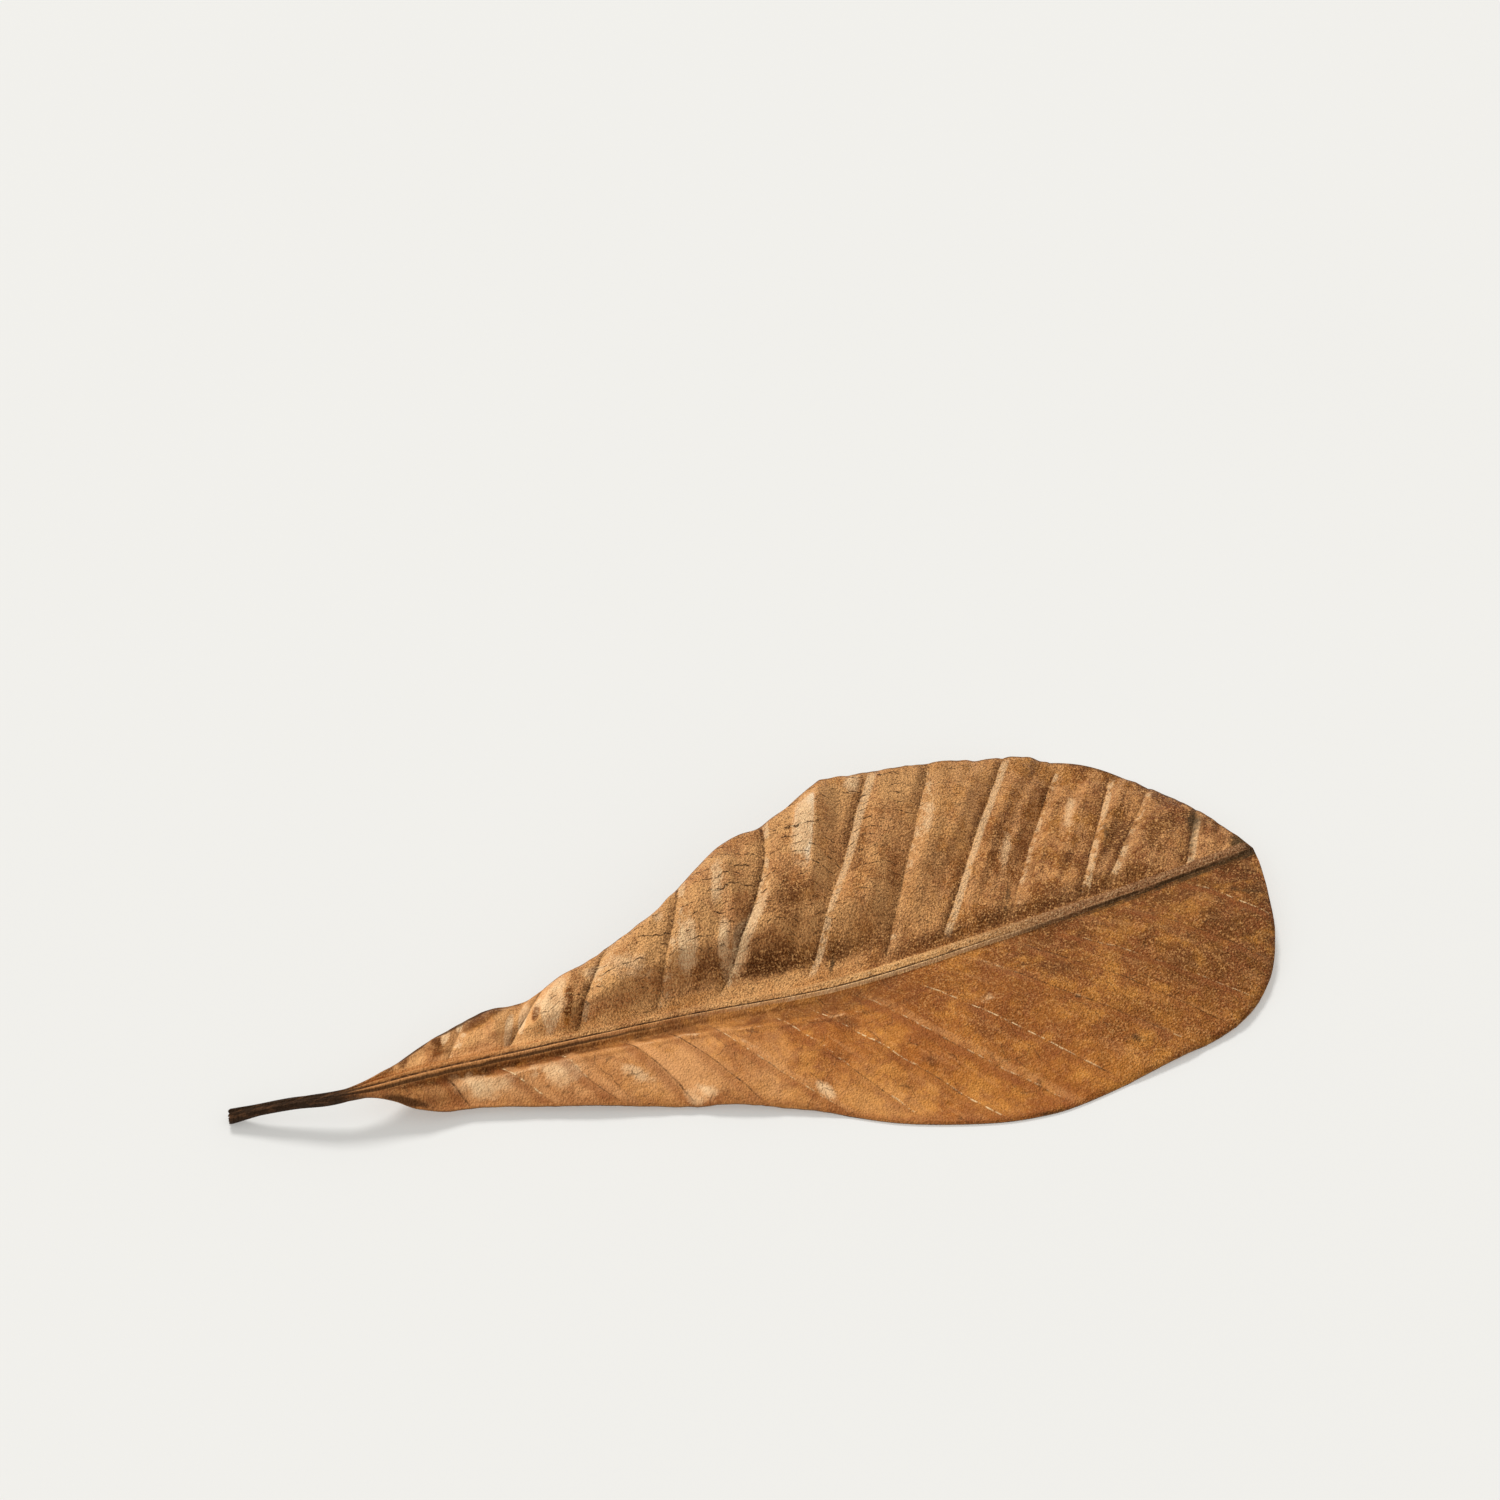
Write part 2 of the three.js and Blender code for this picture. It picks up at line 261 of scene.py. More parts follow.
@dataclass(frozen=True)
class BladeHalf:
    """One half of the blade, from the midrib to its edge.

    Its veins are given by where they leave the midrib and meet the edge, as shares of the blade's length, and by how
    far they bow. Lip is half the midrib's width at the base, the middle and the tip. Rise says where a row's climb to
    the edge starts and ends, and the steep part's share. Crown is the arch's height and swell that between two veins,
    with its crest at a share of the gap, and pleats is the strength of the pleats, creases and dents.
    """

    side: Side
    edge: Curve
    veins: tuple[Triple, ...]
    lip: Triple
    rise: Triple
    crown: float
    swell: float
    crest: float
    pleats: float
    folds: tuple[Fold, ...] = ()

    def vein_place(self, share: np.ndarray, out: np.ndarray) -> np.ndarray:
        """Where each point lies among the veins: a whole number on each vein, and even steps between two of them.

        A vein's row goes evenly from where it leaves the midrib to where it meets the edge, plus a bow that is
        widest halfway. The place is the sum, over the gaps between veins, of the share of each that is passed.

        Args:
            share: Shares of the blade's length.
            out: Shares of the way from midrib to edge.

        Returns:
            The places, by row and column.
        """
        stops = self.vein_stops(out)
        return np.clip((share - stops[:-1]) / (stops[1:] - stops[:-1]), 0.0, 1.0).sum(axis=0)

    def vein_stops(self, out: np.ndarray) -> np.ndarray:
        """The row that each vein is on at shares of the way out, with the blade's two ends before and after them."""
        root, edge, bow = (np.array(values)[:, None, None] for values in zip((0, 0, 0), *self.veins, (1, 1, 0)))
        return mix(root, edge, out) + bow * np.sin(math.pi * out)

    def vein_gap(self, place: np.ndarray, out: np.ndarray) -> np.ndarray:
        """How far apart the two veins beside each point are, as a share of the blade's length.

        Args:
            place: The places among the veins, by row and column.
            out: Shares of the way from midrib to edge, by row and column.

        Returns:
            The distances, by row and column.
        """
        gaps = np.diff(self.vein_stops(out), axis=0)
        index = np.clip(np.floor(place).astype(np.int64), 0, len(gaps) - 1)
        return np.take_along_axis(gaps, index[None], axis=0)[0]

    def climb(self, out: np.ndarray) -> np.ndarray:
        """How far a row has climbed to the edge's height: a steep step near the midrib, shared with a gentle one."""
        start, end, steep = self.rise
        return steep * smooth(start, end, out) + (1 - steep) * smooth(start, 1.0, out)

    def lip_width(self, share: np.ndarray) -> np.ndarray:
        """Half the midrib's width on this side, which widens towards the middle and narrows to the tip."""
        base, middle, tip = self.lip
        return mix(mix(base, middle, smooth(0.0, 0.55, share)), tip, smooth(0.7, 1.0, share))

    def swell_between_veins(self, place: np.ndarray, rounding: float = 5.0) -> np.ndarray:
        """How far the blade swells: the lower of two slopes, rounded where they meet.

        Args:
            place: The places among the veins.
            rounding: How sharp the crest is.

        Returns:
            Numbers from 0 on a vein to 1 at the crest.
        """
        phase = np.clip(place % 1.0, 1e-6, 1 - 1e-6)
        climb = phase / self.crest
        fall = (1 - phase) / (1 - self.crest)
        return (climb**-rounding + fall**-rounding) ** (-1 / rounding)


@dataclass
class LeafGrid:
    """A skin over rows of points: the upper and lower face, and what the finish reads at each point."""

    top: np.ndarray
    bottom: np.ndarray
    place: np.ndarray
    reach: np.ndarray
    marks: np.ndarray
    patches: np.ndarray


@dataclass
class Leaf:
    """The leaf: its sizes, in millimetres, and the methods that work out its surface and build it.

    The midrib and the two edges are given by points: how far along from the blade's base, how far to the left, and
    how high. Where the veins and folds leave the midrib and meet the edge is given in shares of the blade's length.
    """

    stalk_length: float = 20.5
    stalk_radius: Triple = (1.3, 1.0, 1.15)
    stalk_channel: float = 0.3
    stalk_merge: tuple[float, float] = (-4.0, 7.0)
    midrib_points: tuple[Triple, ...] = (
        (-20.3, 4.8, 2.5), (-10, 1.8, 4.8), (0, -0.9, 6.2), (15, -1.1, 6), (30, -1.6, 5.3), (60, -2.4, 3.7),
        (90, -4.5, 2.6), (120, -3.3, 2.6), (150, -1.7, 3.2), (173.6, 0.2, 4),
    )
    raised_edge: tuple[Triple, ...] = (
        (0, 0.3, 5.4), (6.5, 1.5, 5.3), (13, 4.3, 5.2), (19.5, 6.6, 5.5), (27, 8.5, 6), (34, 8.8, 5.1),
        (38.5, 9.9, 6), (51, 13.1, 8.6), (60, 15.8, 10.4), (69, 20.9, 12), (79.5, 27.4, 12.7), (87.5, 29.2, 12.2),
        (101, 35.7, 12.2), (109, 36.8, 10.6), (122, 37.2, 8.4), (134, 37.4, 5.3), (143.5, 37.3, 2.3),
        (151, 35.3, -0.8), (157, 31.1, -0.8), (163, 23.3, 0.8), (168.5, 13.3, 2.2), (172, 4.5, 3.2),
        (173.4, 0.6, 3.3),
    )
    low_edge: tuple[Triple, ...] = (
        (0, -1.8, 5.4), (3.5, -3, 5.2), (7, -4.3, 4.3), (10.5, -6.3, 2.9), (15, -7.6, 2), (22, -8.8, 1.6),
        (41, -15.2, 1.6), (56, -20.4, 1), (64, -23.2, 1.5), (77, -28.9, 0.8), (89.5, -35.9, -0.3),
        (103, -40.8, -1.4), (112.5, -42.6, -1.4), (121, -42.5, -0.3), (137, -39.8, 0.6), (153.5, -36, 1),
        (163, -28.9, 1.8), (168.4, -20, 2.5), (171.2, -11.5, 3), (172.9, -4.5, 3.2), (173.4, -0.4, 3.3),
    )
    raised_veins: tuple[Triple, ...] = (
        (0.106, 0.113, 0), (0.169, 0.18, 0), (0.241, 0.235, 0), (0.325, 0.3, 0.006), (0.388, 0.38, 0.02),
        (0.484, 0.482, 0.004), (0.573, 0.538, 0), (0.636, 0.62, 0), (0.716, 0.697, -0.004), (0.797, 0.777, 0),
        (0.824, 0.843, 0), (0.922, 0.922, 0),
    )
    low_veins: tuple[Triple, ...] = (
        (0.1, 0.1, 0), (0.153, 0.162, 0), (0.215, 0.21, -0.004), (0.281, 0.258, 0), (0.325, 0.302, 0),
        (0.368, 0.358, -0.012), (0.434, 0.41, -0.004), (0.47, 0.462, 0), (0.526, 0.516, -0.008),
        (0.578, 0.564, -0.002), (0.652, 0.65, -0.002), (0.705, 0.704, 0), (0.746, 0.76, 0), (0.826, 0.834, 0),
        (0.904, 0.908, 0),
    )
    raised_folds: tuple[Fold, ...] = (
        Fold(0.082, 0.092, 0.106, 1.0, (0.25, 0.86), -0.02), Fold(0.136, 0.147, 0.168, 0.9, (0.25, 0.86), -0.02),
        Fold(0.205, 0.218, 0.236, 1.0, (0.1, 0.86), -0.03), Fold(0.28, 0.294, 0.31, 0.6, (0.3, 0.86), -0.04),
        Fold(0.36, 0.379, 0.394, 1.0, (0.2, 0.72), -0.06), Fold(0.436, 0.46, 0.48, 1.7, (0.3, 0.86), -0.045),
        Fold(0.512, 0.526, 0.55, 0.7, (0.15, 0.6), -0.03), Fold(0.59, 0.602, 0.624, 0.6, (0.5, 0.86), -0.02),
        Fold(0.672, 0.684, 0.7, 0.5, (0.3, 0.8), -0.02), Fold(0.742, 0.758, 0.782, 0.8, (0.15, 0.86), -0.02),
        Fold(0.87, 0.888, 0.915, 0.4, (0.1, 0.86), 0.0), Fold(0.435, 0.462, 0.472, 0.8, (0.82, 1.2), -0.045),
    )
    low_folds: tuple[Fold, ...] = (
        Fold(0.3, 0.31, 0.325, 0.35, (0.25, 0.8), 0.0), Fold(0.345, 0.354, 0.37, 0.4, (0.2, 0.9), 0.0),
        Fold(0.44, 0.452, 0.47, 0.3, (0.45, 0.95), 0.0), Fold(0.545, 0.556, 0.575, 0.3, (0.1, 0.5), 0.0),
    )
    stains_and_edge_shade: tuple[Stain, ...] = stains_at(
        # the third mark, at the low half's base edge, is painted shade where the edge folds under
        (135.2, -33.8, 3.4, 1.4, -20, 0.6), (128.5, -21.5, 0.4, 0.3, 0, 1), (8.6, -4.8, 4.2, 0.8, -22, 1.3),
        (150.2, 14.5, 7, 0.8, 62, 0.65), (163, 4.5, 5, 0.8, 62, 0.6), (126, 4.5, 6, 0.7, 62, 0.7),
        (166.8, 11.1, 3.4, 1.8, 60, 0.85), (172, 1.5, 3.2, 2.6, 90, 1.2), (115.2, -42.6, 4, 0.6, 2, 0.8),
        (137.5, 14, 5, 0.7, 62, 0.6), (90, 0.5, 3, 0.5, 62, 0.9), (108, 12, 5, 0.5, 62, 0.6),
        (168, -9.5, 5, 0.8, -25, 0.7), (157, -13, 8, 3, -20, 0.35), (60, 8, 6, 3, 62, 0.3),
    )
    pale_marks: tuple[Stain, ...] = stains_at(
        (65.2, 8.4, 4.8, 2, 66, 0.95), (71.8, 8, 3.6, 1.1, 66, 0.75), (73.8, 17.4, 5.5, 1.3, 66, 0.65),
        (93.8, 25.7, 9, 2.2, 66, 0.8), (106.9, 34.7, 3, 1.8, 66, 0.8), (54.3, 7.8, 4.5, 5, 66, 0.5),
        (61.7, 14.1, 2.5, 1.5, 66, 0.5), (46.9, 8.2, 3, 2.8, 66, 0.5), (41.3, 7.9, 2.5, 2, 66, 0.55),
        (37.5, 5.3, 2.5, 3, 66, 0.7), (70.5, -15.5, 5.5, 1.1, -57, 0.45), (58.3, -18.9, 3.6, 2, -20, 0.7),
        (78.8, -25.8, 2.6, 1.2, -57, 0.7), (76.5, 8.5, 8, 1.4, 44, 0.95), (22, -5.4, 6.5, 2.4, -12, 0.62),
        (35.9, -7.6, 5, 3, -20, 0.55), (49, -13, 4.5, 2, -45, 0.6), (118, 24, 8, 1.6, 62, 0.5),
        (130, 15, 7, 1.4, 62, 0.5), (146, 22, 6, 1.3, 62, 0.5), (113, -17, 3, 1.5, 0, 0.5),
        (19.1, 5.2, 2, 0.6, 62, 1.2), (22.1, 6.8, 1.6, 0.6, 62, 1.1), (30.1, 3.4, 3.4, 0.7, 64, 1.2),
        (32.9, 4.4, 3.2, 0.7, 64, 1.1), (38.2, 4, 3.4, 1.2, 64, 1.1),
    )
    brown_marks: tuple[Stain, ...] = stains_at(
        (87.6, -12.8, 3.8, 1.5, -40, 0.6), (83.4, -19.7, 1.8, 1, -40, 0.5), (98.8, -26.7, 4.2, 2.2, -50, 0.45),
        (95.7, -6.3, 7, 1.5, 12, 0.6), (128, -14, 7, 3.5, -20, 0.6), (150, -22, 8, 5, -20, 0.6),
        (158, -6, 6, 3, 10, 0.6), (110, -24, 6, 2, -50, 0.5), (86, 12, 7, 5, 62, 0.7), (102, 20, 9, 3.5, 62, 0.6),
        (152, 12, 8, 3.5, 62, 0.8), (17, 3.6, 2.5, 2, 60, 0.8), (10.5, 2.2, 2.2, 1, 60, 0.8),
        (62, -20.5, 4, 1.2, -20, 0.5), (79, 31, 6, 2, 60, 0.5), (26, 6.6, 4.6, 1.7, 20, 1.2),
        (41.4, 4.2, 3.4, 0.9, 64, 1.2), (35.6, 4.8, 2.4, 0.8, 64, 1.1),
    )
    uneven_swell: Lattice = Lattice((1.0, 1.0), 61)
    pleats: Lattice = Lattice((0.28, 14.0), 11)
    creases: Lattice = Lattice((0.11, 9.0), 21)
    dents: Lattice = Lattice((7.0, 7.0), 71)
    small_dents: Lattice = Lattice((3.6, 3.6), 72)
    cockles: Lattice = Lattice((5.5, 5.5), 31)
    ripples: Lattice = Lattice((2.3, 2.3), 41)
    fibres: Lattice = Lattice((0.2, 11.0), 51)
    fine_fibres: Lattice = Lattice((0.09, 5.0), 52)
    pleat_height: float = 0.3
    crease_height: float = 0.16
    dent_height: float = 0.2
    cockle_height: float = 0.26
    ripple_height: float = 0.13
    vein_spacing: float = 11.0
    vein_groove: tuple[float, float] = (0.12, 0.45)
    rolled_edge: tuple[float, float] = (0.25, 1.6)
    shoulder_height: float = 1.1
    gutter_depth: float = 0.9
    gutter_foot: float = 0.9
    gutter_shares: tuple[float, ...] = (0.03, 0.12, 0.25, 0.38, 0.52)
    gutter_widths: tuple[float, ...] = (1.7, 3.2, 3.9, 5.7, 7.6)
    row_to_vein: float = 0.85
    column_crowding: float = 1.25
    vein_lean: float = 0.11
    vein_skew: float = 1.2
    solid_thickness: float = 0.8
    skin_thickness: float = 0.45
    midrib_depth: tuple[float, float] = (1.7, 0.4)
    lip_crest: float = 0.55
    lip_height: float = 0.4
    swell_at_edge: float = 0.2
    last_row: float = 0.985
    blade_rows: int = 470
    stalk_rows: int = 40
    cap_rows: int = 6
    midrib_columns: int = 7
    blade_columns: int = 38
    halves: dict[Side, BladeHalf] = field(init=False)
    midrib: Curve = field(init=False)
    stalk_share: float = field(init=False)

    def __post_init__(self) -> None:
        """Works out the midrib's curve and the two halves from the sizes."""
        self.midrib = Curve(np.array(self.midrib_points, float))
        self.stalk_share = self.stalk_length / self.midrib.length()
        raised = Curve(np.array(self.raised_edge, float))
        low = Curve(np.array(self.low_edge, float))
        self.halves = {
            Side.RAISED: BladeHalf(
                Side.RAISED, raised, self.raised_veins, lip=(1.1, 2.2, 1.2), rise=(0.1, 0.3, 0.5), crown=1.0,
                swell=1.5, crest=0.3, pleats=1.0, folds=self.raised_folds,
            ),
            Side.LOW: BladeHalf(
                Side.LOW, low, self.low_veins, lip=(1.1, 0.8, 0.6), rise=(0.0, 1.0, 1.0), crown=1.6,
                swell=0.4, crest=0.5, pleats=0.5, folds=self.low_folds,
            ),
        }

    def blade_length(self) -> float:
        """The length of the midrib in the blade, without the stalk."""
        return self.midrib.length() - self.stalk_length

    def midrib_at(self, share: np.ndarray) -> tuple[np.ndarray, np.ndarray]:
        """The midrib's top line and the level direction across it.

        Args:
            share: Shares of the blade's length, negative along the stalk.

        Returns:
            The places and the directions, with the coordinates in a last axis.
        """
        along = np.clip(mix(self.stalk_share, 1.0, share), 0.0, 1.0)
        return self.midrib.at(along), self.midrib.across(along)

    def underside(self, half: BladeHalf, share: np.ndarray, out: np.ndarray) -> np.ndarray:
        """The underside of one half of the blade.

        A row runs straight from the midrib's flank to the edge, leaning towards the tip as the side veins do. Its
        height climbs from the one to the other, plus an arch, plus the swell between the veins.

        Args:
            half: The half of the blade.
            share: One number for each row: where it leaves the midrib, as a share of the blade's length.
            out: One number for each column: 0 at the midrib's flank and 1 at the edge.

        Returns:
            The places, by row and column.
        """
        lean = self.vein_lean * np.sin(math.pi * share**self.vein_skew) ** 2
        edge = half.edge.at(np.minimum(1.0, share + lean))[:, None, :]
        point, across = self.midrib_at(share)
        root = point + across * (half.side.value * half.lip_width(share))[:, None]
        root[:, 2] -= self.solid_thickness
        root = root[:, None, :]
        width = np.hypot(edge[..., 0] - root[..., 0], edge[..., 1] - root[..., 1])
        room = smooth(4.0, 30.0, width)
        spread = smooth(0.0, 0.45, out) * mix(1.0, self.swell_at_edge, smooth(0.7, 1.0, out))
        place = root + (edge - root) * out[None, :, None]
        climbed = half.climb(out)[None, :]
        height = mix(root[..., 2], edge[..., 2], climbed)
        height = height + half.crown * room * np.sin(math.pi * out)[None, :]
        among = half.vein_place(share[:, None], out[None, :])
        uneven = np.stack([among // 1.0 + 0.5, 3.0 * out[None, :] + 0.0 * among], axis=-1)
        swell = half.swell * (1.0 + 0.35 * self.uneven_swell.at(uneven))
        height = height + swell * mix(0.4, 1.0, room) * half.swell_between_veins(among) * spread[None, :]
        place[..., 2] = height + self.wrinkles(half, among, share, out, place, room)
        return place

    def wrinkles(
        self, half: BladeHalf, among: np.ndarray, share: np.ndarray, out: np.ndarray, place: np.ndarray,
        room: np.ndarray,
    ) -> np.ndarray:
        """The fine relief that drying gives the blade, in height.

        It is a sum of folds between the veins, pleats and creases that run along them, dents with sharp floors, which
        are the size of a noise without its sign, cockles and ripples in all directions, a shallow groove on each
        vein, a gutter or a shoulder along the midrib, and an edge that turns down.

        Args:
            half: The half of the blade.
            among: The places among the veins, by row and column.
            share: The rows' shares of the blade's length.
            out: The columns' shares of the way to the edge.
            place: The places before the wrinkles, by row and column.
            room: How much of the relief each row has, by row.

        Returns:
            The heights to add, by row and column.
        """
        reach = np.linalg.norm(place[..., :2] - place[:, :1, :2], axis=-1)
        folds = sum(fold.height * fold.climb(share[:, None], out[None, :])[0] for fold in half.folds)
        along_veins = np.stack([among, reach], -1)
        pleat = self.pleats.at(along_veins, half.side.value)
        crease = self.creases.at(along_veins, half.side.value)
        level = place[..., :2]
        dents = np.abs(self.dents.at(level)) * 2 - 1
        dents = dents + 0.6 * np.abs(self.small_dents.at(level + 3.1)) * 2 - 0.6
        to_vein = np.abs((among + 0.5) % 1.0 - 0.5) * self.vein_spacing
        groove_depth, groove_width = self.vein_groove
        fade = smooth(0.0, 0.12, out)[None, :] * mix(0.75 if half.side is Side.RAISED else 0.5, 1.0, room)
        relief = folds + half.pleats * (
            self.pleat_height * pleat + self.crease_height * crease + self.dent_height * dents
        )
        relief = relief + self.cockle_height * self.cockles.at(level) + self.ripple_height * self.ripples.at(level)
        relief = relief - groove_depth * bump(to_vein, groove_width)
        roll_height, roll_width = self.rolled_edge
        rolled = -roll_height * (1 - smooth(0.0, roll_width, reach[:, -1:] - reach))
        return relief * fade + rolled * smooth(4.0, 14.0, reach[:, -1:]) + self.along_midrib(half, share, reach)

    def along_midrib(self, half: BladeHalf, share: np.ndarray, reach: np.ndarray) -> np.ndarray:
        """The relief next to the midrib: a gutter on the low half, up to its crest, and the raised half's shoulder.

        The gutter is the lower of a steep slope down from the midrib's flank and a gentle one up to the crest.

        Args:
            half: The half of the blade.
            share: The rows' shares of the blade's length.
            reach: The distance from the midrib's flank, by row and column.

        Returns:
            The heights to add, by row and column.
        """
        width = reach[:, -1:]
        if half.side is Side.LOW:
            depth = self.gutter_depth * window((0.03, 0.12), (0.42, 0.6), share)
            crest = np.minimum(self.gutter_crest(share)[:, None], 0.6 * width)
            fall = np.minimum(reach / self.gutter_foot, (crest - reach) / (crest - self.gutter_foot))
            return -depth[:, None] * np.clip(fall, 0.0, 1.0) * smooth(3.0, 8.0, width)
        height = self.shoulder_height * window((0.5, 0.6), (0.78, 0.9), share)
        return height[:, None] * window((0.0, 3.0), (6.0, 20.0), reach)

    def gutter_crest(self, share: np.ndarray) -> np.ndarray:
        """How far from the midrib's flank the crest beside the low half's gutter runs, at shares of the length."""
        return np.interp(share, self.gutter_shares, self.gutter_widths)

    def shaded_strip(self, half: BladeHalf, share: np.ndarray, reach: np.ndarray) -> np.ndarray:
        """How much painted shade darkens the skin beside the midrib: in the low half's gutter, with a line beyond its
        crest, and below the raised half's climb.

        Args:
            half: The half of the blade.
            share: The rows' shares of the blade's length.
            reach: The distance from the middle of the midrib, by row and column.

        Returns:
            Numbers from 0 to 1, by row and column.
        """
        share = share[:, None]
        if half.side is Side.LOW:
            crest = self.gutter_crest(share) + 1.0
            strip = window((0.8, 1.6), (crest - 1.4, crest + 0.1), reach)
            strip = strip * (1 - 0.4 * smooth(0.2, 0.42, share)) + 0.5 * bump(reach - crest - 1.4, 0.7)
            return strip * window((0.0, 0.06), (0.5, 0.62), share)
        climb = window((4.8, 7.2), (9.0, 13.5), reach) * window((0.3, 0.4), (0.5, 0.62), share)
        foot = window((1.8, 2.8), (4.0, 9.5), reach) * window((0.52, 0.62), (0.8, 0.92), share)
        return climb + 0.8 * foot

    def crest_line(self, half: BladeHalf, share: np.ndarray, reach: np.ndarray) -> np.ndarray:
        """How strongly a highlight is painted along the crest beside the low half's gutter: a bell of the distance
        from it.

        Args:
            half: The half of the blade.
            share: The rows' shares of the blade's length.
            reach: The distance from the middle of the midrib, by row and column.

        Returns:
            Numbers from 0 to 1, by row and column.
        """
        if half.side is Side.RAISED:
            return np.zeros_like(reach)
        share = share[:, None]
        pale_and_highlight = bump(reach - self.gutter_crest(share) - 1.2, 0.6)
        return 0.42 * pale_and_highlight * window((0.04, 0.12), (0.45, 0.6), share)

    def half_rows(self, half: BladeHalf, share: np.ndarray) -> tuple[np.ndarray, ...]:
        """Half of every row, from the middle of the midrib to one edge.

        Across the midrib the top runs from its groove over a lip to the flank, in straight slopes with round feet, and
        the underside is a half ellipse. Outside it the blade is the underside with the skin's thickness on top.

        Args:
            half: The half of the blade.
            share: The rows' shares of the blade's length, negative along the stalk.

        Returns:
            The top, the bottom, and the four sets of numbers that the finish reads.
        """
        in_blade = np.maximum(share, 0.0)
        point, across = self.midrib_at(share)
        columns = np.linspace(0.0, 1.0, self.midrib_columns)
        offset = half.lip_width(in_blade)[:, None] * columns[None, :]
        rib_top = point[:, None, :] + across[:, None, :] * (half.side.value * offset)[..., None]
        rib_bottom = rib_top.copy()
        lip = np.where(columns < self.lip_crest, columns / self.lip_crest, (1 - columns) / (1 - self.lip_crest))
        rib_top[..., 2] += (self.lip_height * smooth(0.0, 1.0, lip))[None, :]
        lowered = (self.solid_thickness - self.skin_thickness) * smooth(self.lip_crest, 1.0, columns)
        rib_top[..., 2] -= lowered[None, :]
        depth = mix(self.midrib_depth[0], self.midrib_depth[1], in_blade)[:, None]
        rib_bottom[..., 2] -= self.solid_thickness + depth * np.sqrt(1 - columns**2)[None, :]
        out = np.linspace(0.0, 1.0, self.blade_columns + 1)[1:] ** self.column_crowding
        bottom = self.underside(half, in_blade, out)
        top = bottom.copy()
        top[..., 2] = np.maximum(bottom[..., 2], 0.0) + self.skin_thickness
        reach = np.linalg.norm(bottom[..., :2] - rib_top[:, -1:, :2], axis=-1)
        top = np.concatenate([rib_top, top], axis=1)
        bottom = np.concatenate([rib_bottom, bottom], axis=1)
        return top, bottom, *self.finish_numbers(half, share, offset, reach, out, top)

    def finish_numbers(
        self, half: BladeHalf, share: np.ndarray, offset: np.ndarray, reach: np.ndarray, out: np.ndarray,
        top: np.ndarray,
    ) -> tuple[np.ndarray, ...]:
        """The numbers that the finish reads at each point of half of every row.

        Args:
            half: The half of the blade.
            share: The rows' shares of the blade's length, negative along the stalk.
            offset: The distance from the middle of the midrib, by row and column of the midrib.
            reach: The distance from the midrib's flank, by row and column of the blade.
            out: The blade's columns' shares of the way to the edge.
            top: The places on the upper face, by row and column.

        Returns:
            Place among the veins, reach, marks and patches, each with three numbers in its last axis. The marks hold
            the facets' painted highlight, partly bleaching, and the patches the crest's painted highlight and the
            painted shade beside the midrib.
        """
        in_blade = np.maximum(share, 0.0)
        distance = np.concatenate([offset, offset[:, -1:] + reach], axis=1)
        width = reach[:, -1:]
        to_edge = np.concatenate([np.repeat(width, self.midrib_columns, 1), width - reach], axis=1)
        out = np.concatenate([np.zeros(self.midrib_columns), out])[None, :] + 0.0 * distance
        among = half.vein_place(in_blade[:, None], out)
        along = share[:, None] + 0.0 * distance
        pale_and_lit = self.bleach_and_highlight_on_facets(half, among, in_blade, out)
        gap = half.vein_gap(among, out) * self.blade_length() * self.row_to_vein
        pale_and_highlight = np.maximum(self.marking(self.pale_marks, top), self.crest_line(half, in_blade, distance))
        strip = self.shaded_strip(half, in_blade, distance)
        return (
            np.stack([among, out, along], axis=-1),
            np.stack([half.side.value * distance, to_edge, np.zeros_like(distance)], axis=-1),
            np.stack([pale_and_lit, self.marking(self.stains_and_edge_shade, top), gap], axis=-1),
            np.stack([pale_and_highlight, self.marking(self.brown_marks, top), strip], axis=-1),
        )

    def bleach_and_highlight_on_facets(self, half: BladeHalf, among: np.ndarray, share: np.ndarray, out: np.ndarray) -> np.ndarray:
        """How pale each point is painted, as highlight and partly as bleaching: the side of each swell that climbs
        from a vein, and that of each fold.

        Args:
            half: The half of the blade.
            among: The places among the veins, by row and column.
            share: The rows' shares of the blade's length.
            out: The shares of the way to the edge, by row and column.

        Returns:
            Numbers from 0 to 1, by row and column.
        """
        phase = among % 1.0
        flank = window((0.01, 0.06), (0.35 * half.crest, 1.1 * half.crest), phase)
        flank = flank * (1.0 if half.side is Side.RAISED else 0.15)
        facets = sum(
            fold.climb(share[:, None], out)[1] * smooth(fold.out[0], fold.out[0] + 0.35, out) * fold.height**2 / 2.9
            for fold in half.folds
        )
        return np.clip(0.3 * flank + facets, 0.0, 1.0) * smooth(0.02, 0.1, out)

    @staticmethod
    def marking(marks: tuple[Stain, ...], places: np.ndarray) -> np.ndarray:
        """How strongly a set of marks shows at each place: their sum, up to 1."""
        return np.clip(sum(mark.at(places) for mark in marks), 0.0, 1.0)

